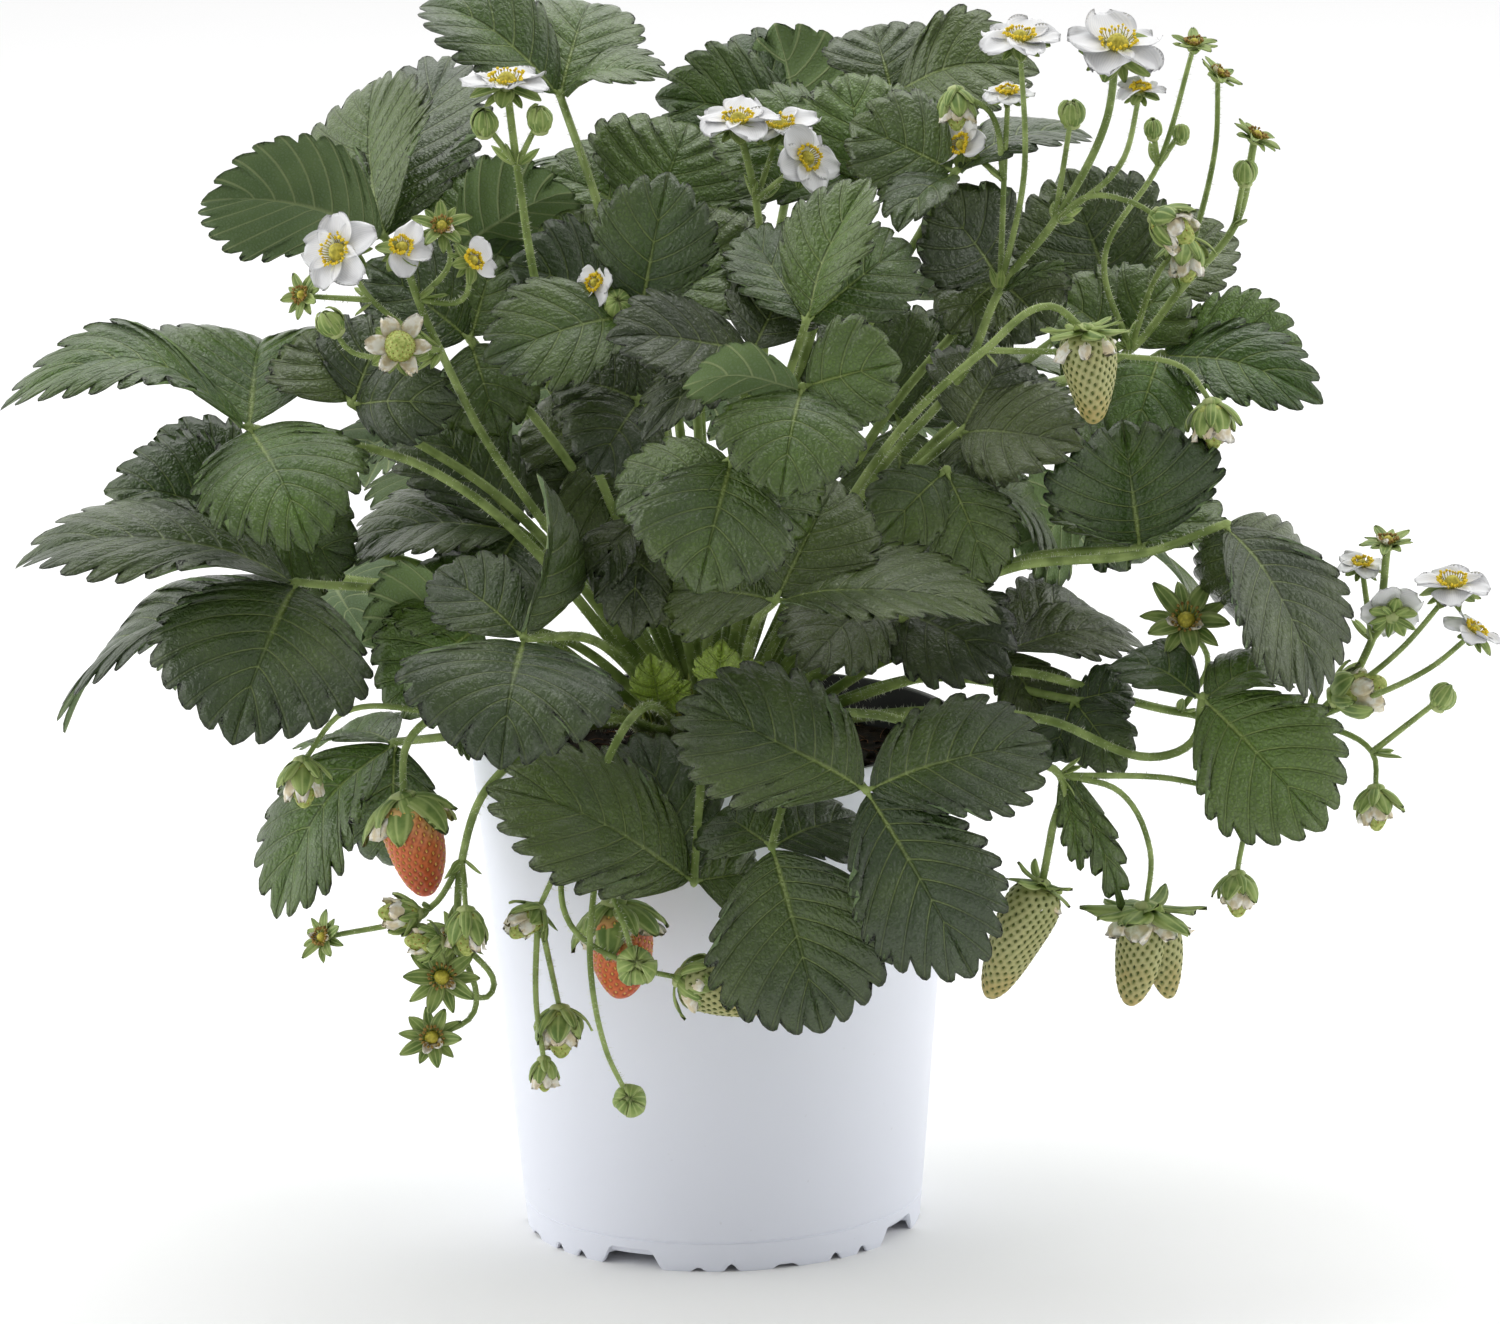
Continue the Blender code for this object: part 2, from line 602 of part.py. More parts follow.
def potting_mix(collection):
    """Fills the pot; its top is lumpy away from the crown and the wall."""
    slope = (RIM_RADIUS - RIM_LIP - FOOT_RADIUS) / POT_HEIGHT
    clear = POT_WALL + GAP + RIM_RADIUS * (1 - math.cos(math.pi / POT_SIDES))

    def inside(z):
        return FOOT_RADIUS + slope * z - clear

    floor = BASE_UNDERSIDE + POT_WALL + GAP
    edge = inside(MIX_TOP)
    profile = [(0, MIX_TOP), (LEVEL_AROUND_CROWN, MIX_TOP), ((LEVEL_AROUND_CROWN + edge) / 2, MIX_TOP),
               (edge - MIX_EDGE / 2, MIX_TOP), (edge, MIX_TOP - MIX_EDGE), (inside(floor), floor), (0, floor)]
    made = to_mesh(turned("potting_mix", profile, MIX_SIDES, collection))
    for vert in made.data.vertices:
        on_top = abs(vert.co.z - MIX_TOP) < GAP
        if on_top and math.hypot(vert.co.x, vert.co.y) > LEVEL_AROUND_CROWN + GAP:
            vert.co.z += MIX_ROUGHNESS * noise.noise(vert.co * LUMPS_PER_METRE)
    made.data.materials.append(material("potting mix", (0.012, 0.009, 0.008), 0.95))
    return made


def dome(collection):
    """The woody clump that the stems grow from, cut flat where it sits on the mix."""
    shape = bmesh.new()
    bmesh.ops.create_icosphere(shape, subdivisions=2, radius=1)
    bmesh.ops.bisect_plane(shape, geom=shape.verts[:] + shape.edges[:] + shape.faces[:],
                           plane_co=(0, 0, 0), plane_no=(0, 0, -1), clear_outer=True)
    rim = [edge for edge in shape.edges if edge.is_boundary]
    bmesh.ops.contextual_create(shape, geom=rim)
    inset = 1 - GAP / CROWN_SIZE.z
    for vert in shape.verts:
        vert.co = Vector([vert.co[i] * CROWN_SIZE[i] * inset for i in range(3)])
        vert.co.z += MIX_TOP + GAP
    bmesh.ops.recalc_face_normals(shape, faces=shape.faces)
    data = bpy.data.meshes.new("dome")
    shape.to_mesh(data)
    shape.free()
    return link("dome", data, collection)


def crown(young, collection):
    """The dome with the young leaves, still short, that push up from its middle."""
    pieces = [dome(collection)]
    for plan, direction in young:
        pieces += leaf_pieces("young", *plan, direction, -STEM_SINK, YOUNG_KNOT_RADIUS, collection)
    return fuse("crown", pieces, material("crown", (0.12, 0.11, 0.03), 0.8))


def leaf_pieces(name, hub, via, blades, direction, clear, knot, collection):
    """A petiole from the crown to the hub, and the blades that grow from the hub."""
    start, *rest = stem_points(direction, via + [hub], clear)
    pieces = [tube(name, [start] + smooth_route(rest, 2), PETIOLE_RADIUS, collection),
              ball(name + " hub", hub, knot, collection)]
    for tip, width, face, fold, arch in blades:
        base = hub + (tip - hub).normalized() * BLADE_START
        pieces.append(blade(name + " blade", base, tip, width * MM, face, fold, arch, collection))
    return pieces


def back_leaf(turn, radius, height, length, hang):
    """Hub, via points and blades of a leaf that is placed by its turn about the pot."""
    angle = math.radians(turn)
    outward = Vector((math.cos(angle), math.sin(angle), 0))
    sideways = Vector((-outward.y, outward.x, 0))
    hub = outward * radius * MM + UP * height * MM
    face = UP + outward * (0.3 + math.sin(math.radians(hang)))
    blades = []
    for spread in (-SIDE_SPREAD, 0, SIDE_SPREAD):
        lean = math.radians(spread)
        along = outward * math.cos(lean) + sideways * math.sin(lean)
        along = (along - UP * math.tan(math.radians(hang))).normalized()
        reach = length * (1 if spread == 0 else SIDE_SHARE)
        blades.append((hub + along * reach * MM, reach * BLADE_BREADTH, face, 10, 12))
    return hub, [], blades


def placed_leaf(plan):
    """Hub, via points and blades of a leaf from the list, in metres."""
    blades = [(spot(tip), width, FACES[face], fold, arch) for tip, width, face, fold, arch in plan.blades]
    return spot(plan.hub), [spot(point) for point in plan.via], blades


def petal_disc(name, centre, normal, width, collection):
    """A flat outline with five round lobes, for the petals of one flower."""
    curve = bpy.data.curves.new(name, "CURVE")
    curve.dimensions = "2D"
    curve.fill_mode = "BOTH"
    curve.extrude = PETAL_THICKNESS / 2
    spline = curve.splines.new("POLY")
    spline.use_cyclic_u = True
    spline.points.add(3 * PETALS - 1)
    for i, point in enumerate(spline.points):
        angle = 2 * math.pi * i / (3 * PETALS)
        radius = width / 2 * (PETAL_NOTCH if i % 3 == 0 else 1)
        point.co = (radius * math.cos(angle), radius * math.sin(angle), 0, 1)
    made = link(name, curve, collection)
    made.matrix_world = placed(centre, normal)
    made = to_mesh(made)
    weld(made.data)
    return made


def placed(centre, axis):
    """A matrix that moves the origin to a centre and turns +Z to an axis."""
    return Matrix.Translation(centre) @ axis.to_track_quat("Z", "Y").to_matrix().to_4x4()


def calyx(name, place, axis, radius, collection):
    """A cone, narrow at the stalk and wide where it opens along its axis."""
    shape = bmesh.new()
    bmesh.ops.create_cone(shape, segments=CALYX_LOBES, cap_ends=True,
                          radius1=0, radius2=radius, depth=CALYX_DEPTH)
    data = bpy.data.meshes.new(name)
    shape.to_mesh(data)
    shape.free()
    data.transform(placed(place, axis))
    return link(name, data, collection)


def head_axis(look, place):
    """The way a head looks: a named one, its flower's, or along its fruit."""
    if look in FRUITS:
        return (spot(FRUITS[look][0]) - place).normalized()
    return FACES[FLOWERS.get(look, look)].normalized()


def truss(name, stalks, direction, finish, collection):
    """Forked stalks, each with the calyx or bud that grows on its end."""
    pieces = []
    for points, head, width, look in stalks:
        places = [spot(p) for p in points]
        if pieces:
            pieces.append(tube(name + " fork", places, PEDICEL_RADIUS, collection))
        else:
            pieces.append(tube(name, stem_points(direction, places), STALK_RADIUS, collection))
        radius = width / 2 * MM
        if head == "bud":
            pieces.append(ball(name + " bud", places[-1], radius, collection))
            continue
        if head == "flower":
            radius *= FLOWER_HEAD_SHARE
        pieces.append(calyx(name + " calyx", places[-1], head_axis(look, places[-1]), radius, collection))
    return fuse(name, pieces, finish)


def fruit(name, top, tip, width, finish, collection):
    """A blunt cone, turned, hanging just clear of its calyx."""
    axis = (tip - top).normalized()
    start = CALYX_DEPTH / 2 + GAP
    length = (tip - top).length - start
    profile = [(width / 2 * share, -start - length * down) for share, down in FRUIT_PROFILE]
    made = turned(name, profile, FRUIT_SIDES, collection)
    made.matrix_world = placed(top, -axis)
    made = to_mesh(made)
    made.data.materials.append(finish)
    return made


def main():
    clear_scene()
    plant = bpy.data.collections.new("strawberry plant")
    cutters = bpy.data.collections.new("cutters")
    for collection in (plant, cutters):
        bpy.context.scene.collection.children.link(collection)
    leaf_green = material("leaf", (0.05, 0.08, 0.035), 0.45)
    stalk_green = material("stalk", (0.2, 0.3, 0.07), 0.6)
    white = material("petal", (0.85, 0.86, 0.9), 0.6)
    red = material("ripe fruit", (0.55, 0.08, 0.03), 0.35)
    green = material("unripe fruit", (0.35, 0.4, 0.12), 0.45)

    leaves = {name: placed_leaf(plan) for name, plan in LEAVES.items()}
    for number, row in enumerate(BACK_LEAVES, 1):
        leaves[f"leaf_back_{number}"] = back_leaf(*row)
    young = [placed_leaf(plan) for plan in YOUNG_LEAVES]
    firsts = [via[0] if via else hub for hub, via, _ in leaves.values()]
    firsts += [spot(stalks[0][0][0]) for stalks in TRUSSES.values()]
    firsts += [hub for hub, _, _ in young]
    directions = crowd([root_direction(first) for first in firsts])

    pot(plant, cutters)
    potting_mix(plant)
    for (name, plan), way in zip(leaves.items(), directions):
        fuse(name, leaf_pieces(name, *plan, way, GAP, KNOT_RADIUS, plant), leaf_green)
    for (name, stalks), way in zip(TRUSSES.items(), directions[len(leaves):]):
        truss(name, stalks, way, stalk_green, plant)
        for points, head, width, look in stalks:
            end = spot(points[-1])
            if look in FRUITS:
                tip, thickness = FRUITS[look]
                fruit(look, end, spot(tip), thickness * MM, red if "red" in look else green, plant)
            elif look in FLOWERS:
                axis = head_axis(look, end)
                centre = end + axis * (CALYX_DEPTH / 2 + GAP + PETAL_THICKNESS / 2)
                petal_disc(look, centre, axis, width * MM, plant).data.materials.append(white)
    crown(list(zip(young, directions[len(leaves) + len(TRUSSES):])), plant)


main()
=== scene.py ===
# %% [markdown]
# # A strawberry plant in a nursery pot
# A strawberry grows from one short crown. Every leaf and every flower stalk starts there, so the
# whole plant is a fountain of thin stems with something at the end of each. The packed model gives
# plain solids for all of them. Each is replaced here, in its own place, by a finely made piece.

# %% Load the frame
import math
from collections import namedtuple

import bpy
import numpy as np
from mathutils import Matrix, Vector, noise


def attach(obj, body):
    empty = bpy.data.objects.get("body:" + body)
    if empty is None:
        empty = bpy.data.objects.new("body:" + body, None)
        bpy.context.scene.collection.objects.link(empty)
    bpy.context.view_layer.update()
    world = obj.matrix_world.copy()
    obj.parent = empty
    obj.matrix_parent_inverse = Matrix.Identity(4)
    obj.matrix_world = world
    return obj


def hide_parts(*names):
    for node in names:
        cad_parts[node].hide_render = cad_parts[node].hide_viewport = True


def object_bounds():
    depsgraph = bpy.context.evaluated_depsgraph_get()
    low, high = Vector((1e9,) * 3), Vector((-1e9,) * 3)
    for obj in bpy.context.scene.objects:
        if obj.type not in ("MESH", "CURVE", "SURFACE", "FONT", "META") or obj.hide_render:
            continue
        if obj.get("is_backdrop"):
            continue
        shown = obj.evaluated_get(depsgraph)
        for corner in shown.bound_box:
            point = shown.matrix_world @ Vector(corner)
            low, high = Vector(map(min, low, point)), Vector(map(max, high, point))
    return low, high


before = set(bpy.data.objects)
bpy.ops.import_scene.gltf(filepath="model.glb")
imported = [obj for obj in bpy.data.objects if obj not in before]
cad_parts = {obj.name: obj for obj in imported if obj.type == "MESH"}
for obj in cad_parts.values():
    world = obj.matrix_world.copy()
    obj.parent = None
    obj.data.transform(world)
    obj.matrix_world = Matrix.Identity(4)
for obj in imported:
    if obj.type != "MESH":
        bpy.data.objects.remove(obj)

cad_box = [list(corner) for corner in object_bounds()]
print("nodes:", len(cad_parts), "box in mm:", [[round(v * 1000) for v in c] for c in cad_box])

# %% [markdown]
# ## Where things are
# A plant has no drawing, so its places were read from the photograph. Each place is a point
# of the picture, in pixels, and a depth in millimetres, because a picture point alone is only a
# line of sight. One function turns the two into metres, and the camera is set up from the same
# values at the end, so what is placed on a pixel also shows there.

# %% Picture points to metres
MM = 0.001
UP = Vector((0, 0, 1))
PHOTO_SIZE = (1500, 1324)
PHOTO_CENTRE = (750, 662)
FOCAL_PIXELS = 9030
CAMERA_DISTANCE = 3.0
CAMERA_RISE = math.radians(13)
CAMERA_ROLL = math.radians(1.2)
CAMERA_AIM = Vector((12.6, 0, 191)) * MM
FORWARD = Vector((0, math.cos(CAMERA_RISE), -math.sin(CAMERA_RISE)))
UPWARD = Vector((0, math.sin(CAMERA_RISE), math.cos(CAMERA_RISE)))
CAMERA_PLACE = CAMERA_AIM - FORWARD * CAMERA_DISTANCE


def spot(point):
    """The place in metres of a picture point (pixel across, pixel down) at a depth in millimetres."""
    across = point[0] - PHOTO_CENTRE[0]
    down = point[1] - PHOTO_CENTRE[1]
    level_across = across * math.cos(CAMERA_ROLL) - down * math.sin(CAMERA_ROLL)
    level_down = across * math.sin(CAMERA_ROLL) + down * math.cos(CAMERA_ROLL)
    ray = FORWARD * FOCAL_PIXELS + Vector((level_across, 0, 0)) - UPWARD * level_down
    return CAMERA_PLACE + ray * ((point[2] * MM - CAMERA_PLACE.y) / ray.y)


print("the pot's foot is at", [round(v * 1000) for v in spot((712, 1240, 0))], "mm")

# %% Leaves
# How young a leaf is, from 0 for old and dark to 1 for fresh and bright
USUAL_YOUTH = 0.2
Leaf = namedtuple("Leaf", "hub blades via youth", defaults=((), USUAL_YOUTH))

# Where a blade's upper side, a flower or a calyx looks
FACES = {
    "down": Vector((0, -0.15, -1)),
    "down_left": Vector((-0.7, -0.4, -0.6)),
    "down_right": Vector((0.8, -0.4, -0.5)),
    "left": Vector((-1, -0.3, 0.15)),
    "up": Vector((0, -0.25, 1)),
    "up_left": Vector((-0.6, -0.2, 1)),
    "up_right": Vector((0.6, -0.2, 1)),
    "front": Vector((0, -1, 0.45)),
    "front_up": Vector((0, -0.8, 0.8)),
    "front_left": Vector((-0.7, -0.8, 0.5)),
    "front_right": Vector((0.7, -0.8, 0.5)),
    "right": Vector((1, -0.15, 0.3)),
    "back": Vector((0, 0.9, 0.5)),
}

# Each leaf: its hub and its blades, and the points its petiole passes, if any. A point is (pixel
# across, pixel down, depth). A blade is (tip point, width, face, fold in degrees, arch in
# hundredths), and has the usual bends where the last two are left out.
USUAL_BENDS = (8, 8)
LEAVES = {
    "leaf_front_right": Leaf((866, 790, -138), [
        ((676, 700, -112), 58, "front_up"), ((1052, 738, -120), 50, "front_up", 6, 8),
        ((975, 978, -150), 52, "front")]),
    "leaf_front_low": Leaf((772, 846, -132), [
        ((823, 1034, -142), 64, "front", 10, 8), ((862, 812, -104), 36, "front_up", 5, 6),
        ((714, 812, -110), 34, "front_up", 5, 6)], [(790, 760, -100)]),
    "leaf_front_left": Leaf((694, 881, -116), [
        ((490, 782, -118), 56, "front_up", 8, 10), ((636, 728, -86), 40, "front_up", 8, 6),
        ((764, 872, -100), 30, "front", 8, 6)], [(702, 769, -98)]),
    "leaf_left_front": Leaf((524, 638, -112), [
        ((500, 764, -150), 74, "front_up", 10, 14), ((436, 566, -92), 34, "up_left", 10, 8),
        ((548, 474, -84), 40, "right", 24, 6)]),
    "leaf_left_low": Leaf((297, 582, -70), [
        ((15, 561, -62), 58, "up", 10, 16), ((232, 742, -112), 76, "front_up", 8, 12),
        ((54, 720, -30), 44, "up_left", 14, 10)], youth=0.22),
    "leaf_left_mid": Leaf((249, 427, -52), [
        ((3, 395, -66), 46, "up", 12, 22), ((311, 546, -96), 60, "front_up", 10, 10),
        ((262, 330, -2), 70, "front_up", 20, 8)], [(430, 470, -66)], youth=0.55),
    "leaf_left_high": Leaf((385, 238, 20), [
        ((200, 196, 0), 58, "back", 12, 14), ((372, 76, 66), 58, "front_left", 12, 10),
        ((452, 48, 96), 46, "front_up", 10, 8)], youth=0.3),
    "leaf_left_pale": Leaf((455, 250, 20), [
        ((574, 190, 6), 46, "back", 12, 12), ((492, 150, 56), 40, "front_up"),
        ((560, 268, 30), 34, "front")], youth=0.5),
    "leaf_top": Leaf((560, 95, 30), [
        ((421, 3, 46), 44, "up_left", 14, 18), ((592, 0, 72), 46, "front_up", 8, 14),
        ((667, 72, 18), 34, "up", 12, 14)], [(604, 226, 4)], youth=0.4),
    "leaf_centre_high": Leaf((640, 316, -52), [
        ((668, 172, -46), 43, "front", 12, 6), ((484, 356, -70), 46, "front_up"),
        ((738, 262, -40), 36, "front_up")], youth=0.36),
    "leaf_centre_dark": Leaf((752, 352, -68), [
        ((608, 336, -88), 38, "front_up"), ((641, 432, -98), 30, "up", 8, 6),
        ((792, 276, -44), 34, "front_up")], youth=0.05),
    "leaf_centre": Leaf((802, 387, -112), [
        ((780, 494, -140), 50, "front_up", 10, 10), ((902, 362, -112), 38, "front", 16, 8),
        ((680, 380, -128), 26, "back", 8, 10)], youth=0.4),
    "leaf_centre_low": Leaf((732, 458, -122), [
        ((697, 594, -142), 54, "front", 14, 8), ((612, 510, -116), 34, "front_up", 10, 8),
        ((808, 536, -118), 38, "front", 10, 8)], youth=0.3),
    "leaf_upright": Leaf((806, 322, -72), [
        ((864, 174, -58), 40, "front_left", 14, 6), ((912, 240, -46), 38, "front"),
        ((744, 226, -26), 30, "front")], youth=0.4),
    "leaf_high_right": Leaf((955, 172, -24), [
        ((1092, 130, -6), 34, "up", 10, 14), ((850, 120, -10), 40, "front", 8, 6),
        ((896, 226, -46), 30, "front_left", 12, 8)], youth=0.3),
    "leaf_top_right": Leaf((892, 92, 84), [
        ((1038, 66, 80), 46, "front_up", 10, 16), ((872, 22, 108), 40, "front", 10, 8),
        ((962, 156, 70), 36, "front_up", 10, 8)]),
    "leaf_top_middle": Leaf((800, 124, 100), [
        ((776, 24, 116), 42, "back", 12, 8), ((656, 96, 94), 46, "front", 10, 10),
        ((712, 46, 128), 42, "front_up", 10, 10)], youth=0.45),
    "leaf_middle_back": Leaf((650, 226, 52), [
        ((540, 166, 66), 48, "front_up"), ((690, 120, 74), 60, "front"),
        ((762, 186, 66), 46, "front_up")], youth=0.42),
    "leaf_right_dark": Leaf((1112, 296, 64), [
        ((1066, 168, 74), 56, "front", 10, 6), ((1238, 236, 72), 42, "front_up", 10, 10),
        ((1004, 250, 80), 44, "front_up", 10, 8)], youth=0.15),
    "leaf_right_bright": Leaf((1160, 354, 16), [
        ((1304, 342, 24), 40, "front", 16, 8), ((1321, 396, -14), 36, "front_up", 10, 10),
        ((1130, 446, -12), 38, "front", 10, 8)], youth=0.7),
    "leaf_right_folded": Leaf((1140, 548, -76), [
        ((1122, 420, -70), 60, "front", 30, 6), ((1206, 486, -58), 36, "front_up", 12, 8),
        ((1070, 480, -48), 36, "front_up", 12, 8)], [(1020, 560, -60)], youth=0.38),
    "leaf_right_far": Leaf((1225, 524, -90), [
        ((1322, 697, -106), 54, "front_right", 8, 12), ((1310, 610, -58), 36, "front_right"),
        ((1250, 640, -64), 34, "front_left")], [(1011, 568, -84), (1145, 553, -90)], youth=0.1),
    "leaf_right_low": Leaf((1202, 698, -92), [
        ((1326, 829, -108), 54, "front", 8, 10), ((1110, 660, -78), 34, "up", 10, 12),
        ((1303, 664, -74), 34, "up", 10, 10)],
        [(1047, 720, -98), (1150, 757, -100), (1192, 742, -98)], youth=0.42),
    "leaf_centre_wide": Leaf((776, 600, -112), [
        ((1001, 618, -126), 58, "up", 10, 12), ((838, 478, -92), 48, "front", 8, 6),
        ((664, 590, -96), 42, "front_up")], youth=0.12),
    "leaf_right_small": Leaf((946, 470, -74), [
        ((994, 582, -86), 32, "front", 12, 8), ((1066, 556, -16), 34, "front_up", 10, 8),
        ((876, 540, -84), 30, "front", 10, 8)], youth=0.25),
    "leaf_right_shade": Leaf((1000, 650, -56), [
        ((1146, 640, -44), 40, "up", 8, 10), ((1070, 760, -72), 30, "front_up"),
        ((1096, 598, -12), 36, "front_up")], youth=0.0),
    "leaf_middle_shade": Leaf((900, 424, 6), [
        ((842, 306, 16), 52, "front", 8, 6), ((984, 326, 22), 48, "front", 8, 6),
        ((900, 558, -16), 46, "front", 8, 6)]),
    "leaf_left_shade": Leaf((520, 530, -24), [
        ((344, 556, -34), 52, "up", 10, 12), ((400, 400, 8), 44, "front_up", 10, 10),
        ((470, 622, -50), 42, "front_up")]),
    "leaf_left_hanging": Leaf((395, 742, -50), [
        ((268, 914, -62), 44, "front_left", 12, 14), ((392, 868, -40), 38, "front", 10, 10),
        ((316, 742, -14), 40, "up", 10, 10)], [(465, 735, -62)], youth=0.5),
}

# Short young leaves in the middle of the plant, which grow with the crown in one piece
YOUNG_LEAVES = (
    Leaf((718, 694, -84), [
        ((722, 640, -90), 18, "front", 24, 6), ((762, 664, -92), 14, "front", 16, 6)], youth=1.0),
    Leaf((660, 708, -56), [
        ((650, 654, -62), 18, "front", 24, 6), ((690, 682, -62), 14, "front", 16, 6)], youth=1.0),
)

# Leaves at the back, which the photograph doesn't show: (turn about the pot in degrees from +X,
# hub radius, hub height, blade length, how far the middle blade hangs in degrees, youth)
BACK_LEAVES = (
    (30, 138, 226, 74, 24, 0.2), (62, 128, 292, 70, 10, 0.2), (80, 152, 206, 80, 36, 0.2),
    (104, 116, 330, 66, 4, 0.5), (124, 150, 252, 76, 26, 0.2), (152, 146, 208, 78, 32, 0.2),
)

print("leaves:", len(LEAVES) + len(BACK_LEAVES), "and young ones:", len(YOUNG_LEAVES))

# %% [markdown]
# ## The trusses
# A truss is a flower stalk that forks like a small tree. Each end carries a head: a bud, a flower, a
# fruit in its calyx, or a star, which is a calyx whose petals have dropped. A list of stalks is
# enough to draw a truss, because every later stalk starts on an earlier one.

